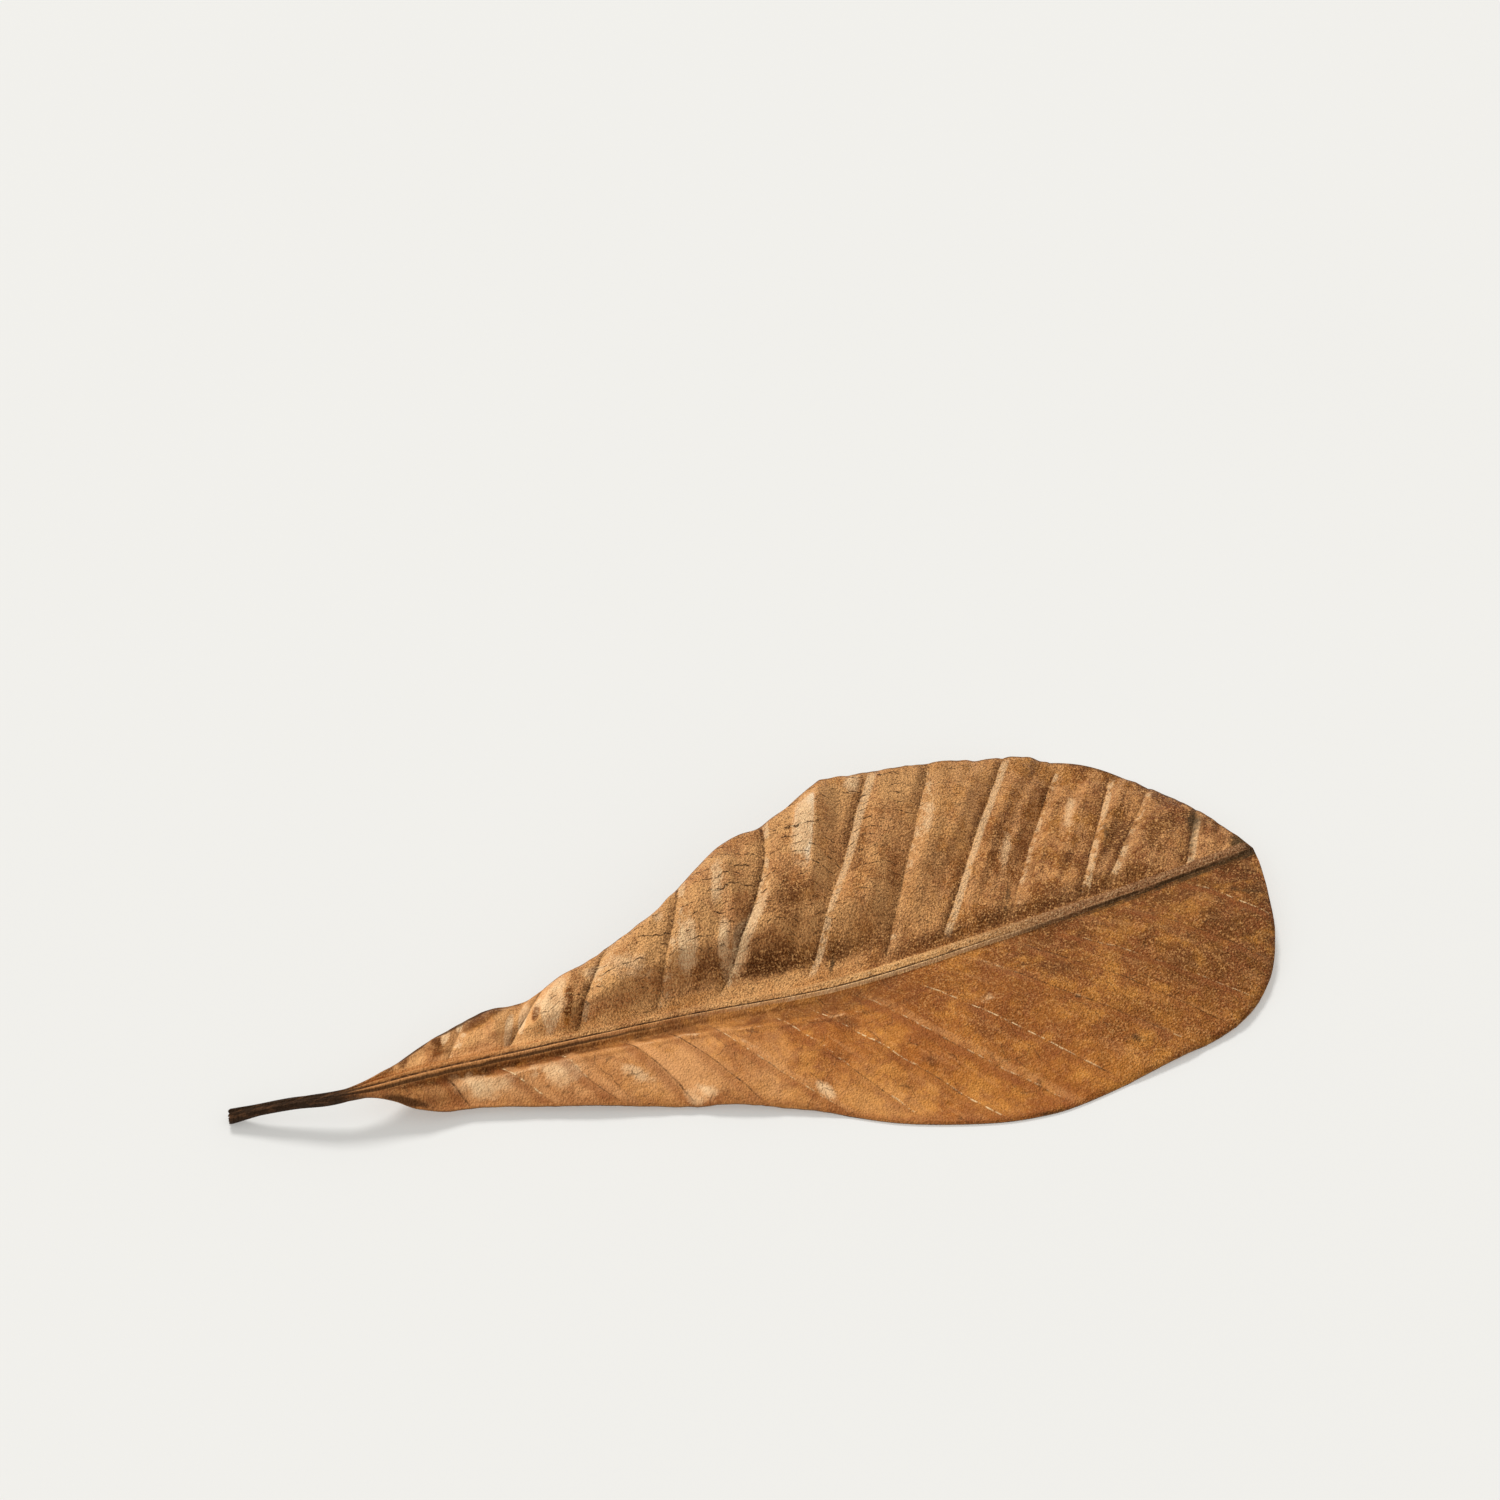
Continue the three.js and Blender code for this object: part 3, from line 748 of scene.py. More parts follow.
    def stalk_rows_of(self, half: BladeHalf, share: np.ndarray) -> tuple[np.ndarray, np.ndarray]:
        """The same columns wrapped round the stalk: a rod with a shallow channel on top and fibres along it.

        Args:
            half: The half that the columns belong to.
            share: The rows' shares of the blade's length, all 0 or negative.

        Returns:
            The top and the bottom, by row and column.
        """
        point, across = self.midrib_at(share)
        from_cut = share / self.stalk_share * (1 - self.stalk_share) + 1
        cut, waist, blade = self.stalk_radius
        radius = mix(mix(cut, waist, smooth(0.0, 0.3, from_cut)), blade, smooth(0.5, 1.0, from_cut))
        columns = self.midrib_columns + self.blade_columns
        turn = np.radians(np.linspace(0.0, 82.0, columns))
        side = half.side.value
        lengthwise = np.repeat(share[:, None] * 170, columns, 1)
        fibre_place = np.stack([np.broadcast_to(side * turn[None, :], lengthwise.shape), lengthwise], -1)
        channel = self.stalk_channel * (1 - smooth(0.0, 0.45, np.sin(turn)))
        faces = []
        for sign in (1, -1):
            turned = fibre_place * np.array([1.0, sign])
            wide = radius[:, None] * (1 + 0.1 * self.fibres.at(turned) + 0.06 * self.fine_fibres.at(turned))
            place = np.repeat(point[:, None, :], columns, axis=1)
            place += across[:, None, :] * (side * wide * np.sin(turn)[None, :])[..., None]
            place[..., 2] += -radius[:, None] + sign * wide * np.cos(turn)[None, :]
            if sign > 0:
                place[..., 2] -= channel[None, :]
            faces.append(place)
        return faces[0], faces[1]

    def grid(self) -> LeafGrid:
        """Works out the whole leaf: stalk rows that turn into blade rows, and nothing below the surface it lies on.

        Returns:
            The rows, from the stalk's cut end to the tip.
        """
        start = -self.stalk_share / (1 - self.stalk_share)
        share = np.concatenate([
            np.linspace(start, 0.0, self.stalk_rows, endpoint=False),
            np.linspace(0.0, self.last_row, self.blade_rows + 1),
        ])
        merge = smooth(*self.stalk_merge, share * self.blade_length())[:, None, None]
        stalk_end = np.minimum(share, 0.0)
        beyond = (self.midrib_at(share)[0] - self.midrib_at(stalk_end)[0])[:, None, :]
        sides = []
        for side in (Side.RAISED, Side.LOW):
            half = self.halves[side]
            top, bottom, *numbers_read = self.half_rows(half, share)
            stalk_top, stalk_bottom = self.stalk_rows_of(half, stalk_end)
            top = mix(stalk_top + beyond, top, merge)
            bottom = mix(stalk_bottom + beyond, bottom, merge)
            bottom[..., 2] = np.maximum(bottom[..., 2], 0.0)
            top[..., 2] = np.maximum(top[..., 2], bottom[..., 2] + 0.05)
            order = slice(None, None, -1) if side is Side.RAISED else slice(1, None)
            sides.append([numbers[:, order] for numbers in (top, bottom, *numbers_read)])
        return self.with_torn_end(LeafGrid(*(np.concatenate(pair, axis=1) for pair in zip(*sides))))

    def with_torn_end(self, grid: LeafGrid) -> LeafGrid:
        """Closes the stalk's cut end with rings that shrink towards its middle, each point pulled in or out a little.

        Args:
            grid: The rows so far, from the cut end to the tip.

        Returns:
            The rows with the end's rings put first.
        """
        shrink = np.linspace(0.12, 1.0, self.cap_rows, endpoint=False)[:, None, None]
        middle = 0.5 * (grid.top[0].mean(axis=0) + grid.bottom[0].mean(axis=0))
        rng = np.random.default_rng(7)
        columns = grid.top.shape[1]
        ragged = np.zeros((self.cap_rows, columns, 3))
        cells = np.stack(np.meshgrid(np.arange(self.cap_rows), np.arange(columns), indexing="ij"), -1).astype(float)
        ragged[..., 0] = 0.35 * Lattice((1.7, 7.0), int(rng.integers(1000))).at(cells)
        top, bottom = (
            np.concatenate([middle + (face[0] - middle)[None] * shrink + ragged, face])
            for face in (grid.top, grid.bottom)
        )
        numbers = [
            np.concatenate([np.repeat(values[:1], self.cap_rows, 0), values])
            for values in (grid.place, grid.reach, grid.marks, grid.patches)
        ]
        return LeafGrid(top, np.maximum(bottom, np.array([-np.inf, -np.inf, 0.0])), *numbers)

    def faces(self, rows: int, columns: int) -> np.ndarray:
        """The skin's triangles: top and bottom split alike, a strip along each edge, and a fan at each end.

        Args:
            rows: How many rows there are.
            columns: How many columns each face has.

        Returns:
            Three corner numbers for each triangle.
        """
        step = columns * 2
        row, column = np.meshgrid(np.arange(rows - 1), np.arange(columns - 1), indexing="ij")
        a = (row * step + column).ravel()
        b, c, d = a + 1, a + 1 + step, a + step
        under = columns
        blocks = [
            np.stack([a, b, c], 1), np.stack([a, c, d], 1),
            np.stack([a + under, c + under, b + under], 1), np.stack([a + under, d + under, c + under], 1),
        ]
        first = np.arange(rows - 1) * step
        for edge, flip in ((0, False), (columns - 1, True)):
            e, f, g, h = first + edge, first + edge + step, first + edge + step + under, first + edge + under
            pair = [np.stack([e, f, g], 1), np.stack([e, g, h], 1)]
            blocks += [p[:, ::-1] if flip else p for p in pair]
        count = rows * step
        for row_index, centre, outward in ((0, count, False), (rows - 1, count + 1, True)):
            ring = np.concatenate([np.arange(columns), np.arange(columns)[::-1] + columns]) + row_index * step
            following = np.roll(ring, -1)
            corners = (ring, following) if outward else (following, ring)
            blocks.append(np.stack([*corners, np.full_like(ring, centre)], 1))
        return np.concatenate(blocks)

    def build(self) -> bpy.types.Object:
        """Builds the leaf's mesh, in metres, under the middle of the solid that it stands for.

        Returns:
            The leaf's object, with its place in its mesh.
        """
        grid = self.grid()
        rows, columns = grid.top.shape[:2]
        points = np.concatenate([grid.top, grid.bottom], axis=1).reshape(-1, 3)
        start = 0.5 * (grid.top[0].mean(0) + grid.bottom[0].mean(0))
        tip = np.array(self.midrib_points[-1]) - np.array([0.0, 0.0, self.skin_thickness])
        points = np.vstack([points, start, tip])
        low, high = (np.array(corner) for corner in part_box("leaf"))
        blade = points[: rows * columns * 2]
        shift = 0.5 * (low + high)[:2] / MM - 0.5 * (blade.min(0) + blade.max(0))[:2]
        points[:, :2] += shift
        mesh = bpy.data.meshes.new("dried_leaf")
        triangles = self.faces(rows, columns)
        mesh.vertices.add(len(points))
        mesh.vertices.foreach_set("co", (points * MM).astype(np.float32).ravel())
        mesh.loops.add(triangles.size)
        mesh.loops.foreach_set("vertex_index", triangles.astype(np.int32).ravel())
        mesh.polygons.add(len(triangles))
        mesh.polygons.foreach_set("loop_start", np.arange(0, triangles.size, 3, dtype=np.int32))
        mesh.polygons.foreach_set("use_smooth", np.ones(len(triangles), bool))
        mesh.update(calc_edges=True)
        mesh.validate()
        self.write_numbers(mesh, grid)
        piece = bpy.data.objects.new("dried_leaf", mesh)
        bpy.context.scene.collection.objects.link(piece)
        log.info("leaf: %d points, %d triangles", len(points), len(triangles))
        return piece

    def write_numbers(self, mesh: bpy.types.Mesh, grid: LeafGrid) -> None:
        """Writes what the finish reads at each point: its place among the veins, its reach, its marks and patches.

        Args:
            mesh: The leaf's mesh.
            grid: The rows it was made from.
        """
        upper = grid.reach.copy()
        upper[..., 2] = 1.0
        numbers = {
            "vein_place": (grid.place, grid.place), "leaf_reach": (upper, grid.reach),
            "leaf_marks": (grid.marks, grid.marks), "leaf_patches": (grid.patches, grid.patches),
        }
        for name, faces in numbers.items():
            values = np.concatenate(faces, axis=1)
            flat = values.reshape(-1, 3)
            ends = np.stack([values[0].mean(0), values[-1].mean(0)])
            attribute = mesh.attributes.new(name, "FLOAT_VECTOR", "POINT")
            attribute.data.foreach_set("vector", np.vstack([flat, ends]).astype(np.float32).ravel())


def srgb(red: float, green: float, blue: float) -> Colour:
    """A colour from screen values, as the linear colour that a shader takes: divided when dark, else a power.

    Args:
        red: The red channel, from 0 to 255.
        green: The green channel, likewise.
        blue: The blue channel, likewise.

    Returns:
        The linear colour, opaque.
    """
    shares = [value / 255 for value in (red, green, blue)]
    linear = [share / 12.92 if share <= 0.04045 else ((share + 0.055) / 1.055) ** 2.4 for share in shares]
    return (*linear, 1.0)


class Graph:
    """A material's nodes, and the one method that adds any of them."""

    def __init__(self, name: str) -> None:
        """Makes an empty material.

        Args:
            name: The material's name.
        """
        self.material = bpy.data.materials.new(name)
        self.material.use_nodes = True
        self.tree = self.material.node_tree
        self.tree.nodes.clear()

    def node(self, kind: str, settings: dict | None = None, inputs: dict | None = None) -> bpy.types.Node:
        """Adds a node.

        Args:
            kind: The node's type.
            settings: Its properties, set before its sockets.
            inputs: Values or links for its sockets, by name or number.

        Returns:
            The node.
        """
        node = self.tree.nodes.new(kind)
        for key, value in (settings or {}).items():
            setattr(node, key, value)
        for key, value in (inputs or {}).items():
            socket = node.inputs[key]
            if isinstance(value, Field):
                self.tree.links.new(value.socket, socket)
            elif isinstance(value, bpy.types.NodeSocket):
                self.tree.links.new(value, socket)
            else:
                socket.default_value = value
        return node

    def noise(
        self, where: "Field", scale: float, detail: float = 3.0, roughness: float = 0.5, warp: float = 0.0
    ) -> "Field":
        """Noise between 0 and 1, with scale lumps to the metre."""
        inputs = {"Vector": where, "Scale": scale, "Detail": detail, "Roughness": roughness, "Distortion": warp}
        return Field(self, self.node("ShaderNodeTexNoise", {"noise_dimensions": "3D"}, inputs).outputs[0])

    def cells(self, where: "Field", scale: float, feature: str = "F1") -> "Field":
        """The distance to the middle of a cell, or to its wall, in cells, with scale cells to the metre."""
        settings = {"feature": feature, "voronoi_dimensions": "2D"}
        found = self.node("ShaderNodeTexVoronoi", settings, {"Vector": where, "Scale": scale})
        return Field(self, found.outputs["Distance"])

    def lots(self, number: "Field") -> tuple["Field", "Field", "Field"]:
        """Three random numbers between 0 and 1 for each whole number."""
        found = self.node("ShaderNodeTexWhiteNoise", {"noise_dimensions": "1D"}, {"W": number})
        return self.split(found.outputs["Color"])

    def attribute(self, name: str) -> tuple["Field", "Field", "Field"]:
        """The three numbers that the mesh carries at each point under a name."""
        return self.split(self.node("ShaderNodeAttribute", {"attribute_name": name}).outputs["Vector"])

    def split(self, vector: bpy.types.NodeSocket) -> tuple["Field", "Field", "Field"]:
        """The three numbers of a vector."""
        return tuple(Field(self, socket) for socket in self.node("ShaderNodeSeparateXYZ", {}, {0: vector}).outputs)

    def vector(self, *numbers: "Field | float") -> "Field":
        """The vector of three numbers."""
        return Field(self, self.node("ShaderNodeCombineXYZ", {}, dict(enumerate(numbers))).outputs[0])

    def blend(self, start: "Field | Colour", end: "Field | Colour", share: "Field | float") -> "Field":
        """Mixes two colours: the first at share 0, and the second at share 1."""
        settings = {"data_type": "RGBA", "blend_type": "MIX", "clamp_factor": True}
        return Field(self, self.node("ShaderNodeMix", settings, {0: share, 6: start, 7: end}).outputs[2])

    def coated(self, colour: "Field | Colour", coats: "Coats") -> "Field":
        """Lays coats over a colour.

        Args:
            colour: The colour under them all.
            coats: The colour of each coat and how much of it covers what is below, in turn.

        Returns:
            The colour with its coats.
        """
        for coat, share in coats:
            colour = self.blend(colour, coat, share)
        return colour

    def finished(self, inputs: dict) -> bpy.types.Material:
        """Adds the shader and the output.

        Args:
            inputs: Values or links for the shader's sockets, by name.

        Returns:
            The material.
        """
        shader = self.node("ShaderNodeBsdfPrincipled", {}, inputs)
        self.node("ShaderNodeOutputMaterial", {}, {"Surface": shader.outputs[0]})
        return self.material


class Field:
    """A number or colour that varies over a surface. Arithmetic on numbers adds Math nodes."""

    def __init__(self, graph: Graph, socket: bpy.types.NodeSocket) -> None:
        """Wraps an output socket of a graph."""
        self.graph = graph
        self.socket = socket

    def math(self, operation: str, *operands: "Field | float") -> "Field":
        """Adds a Math node on these operands."""
        inputs = dict(enumerate(operands))
        return Field(self.graph, self.graph.node("ShaderNodeMath", {"operation": operation}, inputs).outputs[0])

    def __add__(self, other: "Field | float") -> "Field":
        """This plus other."""
        return self.math("ADD", self, other)

    __radd__ = __add__

    def __sub__(self, other: "Field | float") -> "Field":
        """This minus other."""
        return self.math("SUBTRACT", self, other)

    def __rsub__(self, other: "Field | float") -> "Field":
        """Other minus this."""
        return self.math("SUBTRACT", other, self)

    def __mul__(self, other: "Field | float") -> "Field":
        """This times other."""
        return self.math("MULTIPLY", self, other)

    __rmul__ = __mul__

    def __abs__(self) -> "Field":
        """This without its sign."""
        return self.math("ABSOLUTE", self)

    def __mod__(self, other: float) -> "Field":
        """What is left of this after whole times other, never negative."""
        return self.math("FLOORED_MODULO", self, other)

    def floor(self) -> "Field":
        """The whole number at or below this."""
        return self.math("FLOOR", self)

    def larger(self, other: "Field | float") -> "Field":
        """The larger of this and other."""
        return self.math("MAXIMUM", self, other)

    def step(self, none: float, full: float) -> "Field":
        """A smooth step over this.

        Args:
            none: The value at which it is 0.
            full: The value at which it is 1, on either side of the other.

        Returns:
            Numbers from 0 to 1.
        """
        inputs = {"Value": self, "From Min": min(none, full), "From Max": max(none, full)}
        node = self.graph.node("ShaderNodeMapRange", {"interpolation_type": "SMOOTHSTEP"}, inputs)
        stepped = Field(self.graph, node.outputs[0])
        return stepped if none < full else 1.0 - stepped

    def window(self, none: float, full: float, still: float, gone: float) -> "Field":
        """A smooth step up from none to full, and down again from still to gone."""
        return self.step(none, full) * self.step(gone, still)

    def ragged(self, rag: "Field", none: float, full: float) -> "Field":
        """A mark with a ragged edge: this plus a rag, which is kept off where there is no mark."""
        return self + rag * self.step(none, full)


Coats = Sequence[tuple[Field | Colour, Field | float]]


@dataclass(frozen=True)
class LeafFields:
    """What the leaf's colours are worked out from: the numbers on the mesh, and noises of several sizes."""

    graph: Graph
    where: Field
    vein: Field
    out: Field
    along: Field
    from_midrib: Field
    to_edge: Field
    upper: Field
    facet_bleach_and_highlight: Field
    stain: Field
    distance: Field
    pale_mark: Field
    brown_mark: Field
    strip: Field
    lots: tuple[Field, Field, Field]
    raised: Field
    rough: Field
    pebbles: Field
    blotch: Field
    patch: Field
    mottle: Field
    fleck: Field
    grain: Field

    @classmethod
    def on(cls, graph: Graph) -> "LeafFields":
        """Adds the nodes for all of them.

        Blotches are 16 mm wide, patches 7 mm, mottles 2.4 mm, flecks 1 mm, pebbles 0.45 mm and grains 0.4 mm. The
        skin is rough on the raised half and towards the tip, and smoother on the low half's base. The distance from
        the nearest vein is how far the place among the veins is from a whole number, times the gap between two veins,
        plus a little wander.

        Args:
            graph: The nodes to add to.

        Returns:
            The fields.
        """
        where = Field(graph, graph.node("ShaderNodeTexCoord").outputs["Object"])
        vein, out, along = graph.attribute("vein_place")
        from_midrib, to_edge, upper = graph.attribute("leaf_reach")
        facet_bleach_and_highlight, stain, gap = graph.attribute("leaf_marks")
        pale_mark, brown_mark, strip = graph.attribute("leaf_patches")
        raised = from_midrib.step(-0.05, 0.05)
        tip_side = (along + (graph.noise(where, 45, 2) - 0.5) * 0.35).step(0.4, 0.7)
        wander = (graph.noise(where, 120, 3) - 0.5) * 0.9
        return cls(
            graph, where, vein, out, along, from_midrib, to_edge, upper, facet_bleach_and_highlight, stain,
            distance=((vein + 0.5) % 1.0 - 0.5) * gap + wander, pale_mark=pale_mark, brown_mark=brown_mark,
            strip=strip, lots=graph.lots((vein + 0.5).floor() + raised * 40.0), raised=raised,
            rough=(raised * along.step(0.12, 0.26)).larger(tip_side * 0.85).larger(0.33),
            pebbles=graph.cells(where, 2200),
            **{name: graph.noise(where, *numbers) for name, numbers in SKIN_NOISES.items()},
        )


@dataclass(frozen=True)
class LeafFinish:
    """The dried leaf's skin: golden to red brown above, paler and duller below, and a dark stalk."""

    gold: Colour = srgb(222, 148, 66)
    brown: Colour = srgb(178, 104, 42)
    deep: Colour = srgb(104, 58, 24)
    red_brown: Colour = srgb(150, 82, 42)
    olive: Colour = srgb(104, 74, 34)
    pinkish: Colour = srgb(228, 164, 106)
    pale: Colour = srgb(252, 208, 156)
    cream: Colour = srgb(255, 218, 164)
    white: Colour = srgb(255, 226, 186)
    glow: Colour = srgb(244, 184, 116)
    gap: Colour = srgb(58, 27, 8)
    sheen: Colour = srgb(255, 206, 150)
    line: Colour = srgb(66, 38, 18)
    stain: Colour = srgb(70, 54, 33)
    stalk: Colour = srgb(44, 29, 20)
    stalk_streak: Colour = srgb(104, 70, 46)
    rib: Colour = srgb(246, 186, 118)
    rib_grey: Colour = srgb(160, 112, 74)
    under: Colour = srgb(160, 116, 72)
    under_dark: Colour = srgb(112, 74, 44)

    def material(self) -> bpy.types.Material:
        """Makes the material.

        The upper face starts golden and takes on in turn the coats of the ground, the pale parts, the raised half's
        veins, the cracks, the grain, the low half's veins, the stains and painted edge shade, and the midrib, with
        painted light and shade among them. The underside has its own, duller coats, and the stalk's lie over both.

        Returns:
            The material.
        """
        graph = Graph("dried_leaf_skin")
        on = LeafFields.on(graph)
        layers = (
            self.ground, self.pale_parts, self.raised_veins, self.cracks, self.grain, self.low_veins, self.stains_and_edge_shade,
            self.midrib,
        )
        upper = graph.coated(self.gold, [coat for layer in layers for coat in layer(on)])
        under = graph.coated(self.under, self.underside(on))
        colour = graph.coated(graph.blend(under, upper, on.upper.step(0.3, 0.7)), self.bark(on))
        grains = on.pebbles.step(0.55, 0.1) * (0.03 + 0.1 * on.rough) + on.grain * (0.06 + 0.4 * on.rough)
        relief = grains + on.fleck * 0.16 + on.mottle * 0.36 + on.patch * 0.4
        bumps = graph.node("ShaderNodeBump", {}, {"Strength": 1.0, "Distance": MM, "Height": relief})
        return graph.finished({
            "Base Color": colour, "Roughness": 0.42 + 0.22 * on.fleck + 0.12 * on.along.step(0.02, -0.01),
            "Normal": bumps.outputs[0], "IOR": 1.5, "Specular IOR Level": 0.22, "Specular Tint": self.sheen,
        })

    def ground(self, on: LeafFields) -> Coats:
        """The blade's colour: brown blotches, red brown and olive patches, streaks, darker to the tip, and painted
        light and shade.

        Streaks run along the veins: noise on the place among the veins and the reach from the midrib, which is far
        longer along the veins than across. The strip beside the midrib is painted shade, in the gutter and on the
        raised half's climb; the raised half's foot beside it is painted golden as light, and its base lobe is painted
        darker near the edge as the shade where it curls.

        Args:
            on: The fields to work from.

        Returns:
            The coats, over gold.
        """
        lumps = on.graph.noise(on.where, 190, 4, 0.6, 0.3)
        streaks = on.graph.noise(on.graph.vector(on.vein * 4.2, on.from_midrib * 0.075, on.blotch * 0.6), 1.0, 4, 0.6)
        scales = on.graph.cells(on.where, 330) + (on.mottle - 0.5) * 0.8
        marked = on.brown_mark.ragged((on.mottle - 0.5) * 0.9, 0.0, 0.3).step(0.2, 0.85)
        patchy = (on.patch + (on.mottle - 0.5) * 0.9).step(0.3, 0.6)
        foot = on.from_midrib.window(1.5, 2.6, 4.0, 5.6) * on.along.step(0.56, 0.46)
        margin = (on.to_edge + (on.mottle - 0.5) * 3.0).step(3.6, 1.0) * on.along.step(0.6, 0.45)
        lobe = (on.to_edge + (on.patch - 0.5) * 5.0).step(4.6, 0.8) * on.along.step(0.19, 0.13)
        return (
            (self.brown, on.blotch.step(0.34, 0.62)),
            (self.deep, (on.along + (on.blotch - 0.5) * 0.7).step(0.5, 0.98) * (1.0 - 0.05 * on.raised)),
            (self.red_brown, on.patch.step(0.52, 0.68) * (0.5 - 0.1 * on.raised)),
            (self.gold, lumps.step(0.52, 0.7) * 0.7),
            (self.pinkish, on.raised * (0.05 + 0.5 * lumps.step(0.45, 0.54))),
            (self.deep, lumps.step(0.44, 0.3) * 0.3),
            (self.olive, (on.patch + on.along * 0.12).step(0.36, 0.26) * 0.5),
            (self.deep, streaks.step(0.54, 0.62) * (0.15 + 0.35 * on.raised)),
            (self.pinkish, streaks.step(0.47, 0.36) * (0.2 + 0.5 * on.raised)),
            (self.red_brown, on.mottle.step(0.5, 0.64) * 0.45),
            (self.red_brown, scales.step(0.42, 0.7) * (0.4 - 0.2 * on.raised)),
            (self.deep, marked * 0.8),
            # painted shade beside the midrib, in patches
            (self.deep, on.strip * (0.5 + 0.5 * patchy)),
            # painted light: a golden strip at the raised half's foot beside the midrib
            (self.gold, foot * on.along.step(0.14, 0.24) * 0.75),
            (self.red_brown, margin * (1.0 - on.raised) * 0.55),
            # painted shade: the raised base lobe darker near its curled edge
            (self.deep, lobe * on.raised * 0.8),
        )

    def pale_parts(self, on: LeafFields) -> Coats:
        """Pale parts: pinkish and golden towards the base, and pale, with ragged edges, on facets, as painted
        highlight and partly bleaching, and on patches.

        Args:
            on: The fields to work from.

        Returns:
            The coats.
        """
        base = (on.along + (on.blotch - 0.5) * 0.3 - 0.22 * on.raised).step(0.5, 0.2) * (1.0 - on.strip)
        base = base * (0.4 + 0.6 * on.to_edge.step(0.4, 4.0)) * on.brown_mark.step(0.7, 0.2)
        rag = (on.mottle - 0.5) * 0.8 + (on.graph.noise(on.where, 130, 3, 0.6, 0.3) - 0.5) * 0.9
        patches = on.pale_mark.ragged(rag, 0.0, 0.25).step(0.28, 0.62)
        return (
            (self.pinkish, base * (0.42 + 0.5 * on.patch.step(0.62, 0.4))),
            (self.glow, base * on.raised * on.patch.step(0.6, 0.42) * 0.6),
            # painted highlight, partly bleaching: pinkish, then near white, on the climbing side of the facets
            (self.pinkish, on.facet_bleach_and_highlight.ragged(rag, 0.0, 0.25).step(0.16, 0.55) * 0.85),
            (self.white, (on.facet_bleach_and_highlight + rag * 0.3).step(0.4, 0.8) * 0.92),
            # the pale marks, with the highlight painted along the low half's crest among them
            (self.pinkish, patches * 0.8),
            (self.pale, patches * (0.55 + 0.4 * on.mottle.step(0.62, 0.4))),
        )

    def raised_veins(self, on: LeafFields) -> Coats:
        """The raised half's veins: a broken dark line, painted shade before it and a pale band after it, partly pale
        colour and partly painted highlight.

        Args:
            on: The fields to work from.

        Returns:
            The coats.
        """
        first, second, third = on.lots
        present = on.out.window(0.02, 0.07, 0.95, 1.0) * on.raised
        seen = (on.graph.noise(on.where, 80, 3) + (first - 0.5) * 0.2).step(0.4, 0.6)
        dots = on.graph.noise(on.where, 520, 3, 0.7).step(0.42, 0.58)
        shade = (on.distance + (on.mottle - 0.5) * 2.0).step(-1.9, -0.2) * on.distance.step(0.2, 0.0)
        band = (on.distance - second * 0.9).step(1.2, 0.7) * on.distance.step(0.05, 0.3)
        patchy = (on.patch + third * 0.2 + (on.mottle - 0.5) * 1.3).step(0.49, 0.66)
        dark = abs(on.distance + 0.05).step(0.3, 0.1) * present
        return (
            # painted shade before each vein, where the blade faces away from the light
            (self.deep, shade * present * (0.3 + 0.4 * seen)),
            # painted highlight, in patches, on the band that climbs after each vein
            (self.pale, band * present * (0.03 + 0.75 * patchy)),
            (self.line, dark * (0.3 + 0.7 * seen * dots) * 0.9),
        )

    def low_veins(self, on: LeafFields) -> Coats:
        """The low half's veins: thin dark lines and dotted pale ones in turn, with a pale band beside a few.

        Args:
            on: The fields to work from.

        Returns:
            The coats.
        """
        first, second, third = on.lots
        present = on.out.window(0.05, 0.14, 0.9, 1.0) * (1.0 - on.raised)
        faint = 0.12 * on.along.step(0.34, 0.2)
        seen = (on.graph.noise(on.where, 75, 3) + (first - 0.5) * 0.3 - faint).step(0.44, 0.6)
        dots = on.graph.noise(on.where, 640, 3, 0.7).step(0.47, 0.6)
        band = abs(on.distance - 0.9).step(1.1, 0.3) * second.step(0.35, 0.75) * on.along.step(0.62, 0.4)
        dark = abs(on.distance).step(0.2, 0.06) * present * (1.0 - 0.7 * seen)
        pale = abs(on.distance - 0.12).step(0.2, 0.07) * present * seen
        return (
            # painted shade: red brown before each vein
            (self.red_brown, abs(on.distance + 0.9).step(1.5, 0.1) * present * (0.2 + 0.4 * second)),
            (self.pinkish, band * present * (0.25 + 0.5 * on.mottle.step(0.6, 0.4))),
            (self.line, dark * (0.35 + 0.45 * dots)),
            (self.cream, pale * dots * (0.45 + 0.4 * third)),
        )

    def cracks(self, on: LeafFields) -> Coats:
        """The fine cracks: rungs across the panels of the raised half, and a faint net on the low half.

        A rung is where the reach from the midrib, plus slow noise and a step at each vein, is near a whole number of
        rungs. The net is where the distance to a cell's wall is small.

        Args:
            on: The fields to work from.

        Returns:
            The coats.
        """
        graph = on.graph
        rungs = (on.from_midrib * 0.4 + graph.noise(on.where, 95, 3, 0.6) * 3.6 + on.vein.floor() * 0.37) % 1.0
        often = on.along.window(0.14, 0.26, 0.5, 0.66) * on.out.step(0.1, 0.4)
        seen = (graph.noise(on.where, 230, 3, 0.6) + 0.045 * often).step(0.5, 0.57) * on.raised
        broken = graph.noise(on.where, 700, 2).step(0.4, 0.5)
        bent = graph.node("ShaderNodeVectorMath", {"operation": "MULTIPLY_ADD"}, {
            0: graph.node("ShaderNodeTexNoise", {}, {"Vector": on.where, "Scale": 260.0}).outputs["Color"],
            1: (0.004, 0.004, 0.004), 2: on.where,
        })
        net = graph.cells(Field(graph, bent.outputs[0]), 230, "DISTANCE_TO_EDGE")
        part = (1.0 - 0.8 * on.raised) * on.patch.step(0.47, 0.6)
        return (
            (self.line, abs(rungs - 0.5).step(0.075, 0.03) * seen * broken * (0.35 + 0.6 * often)),
            (self.line, net.step(0.045, 0.012) * part * (0.08 + 0.42 * broken)),
        )

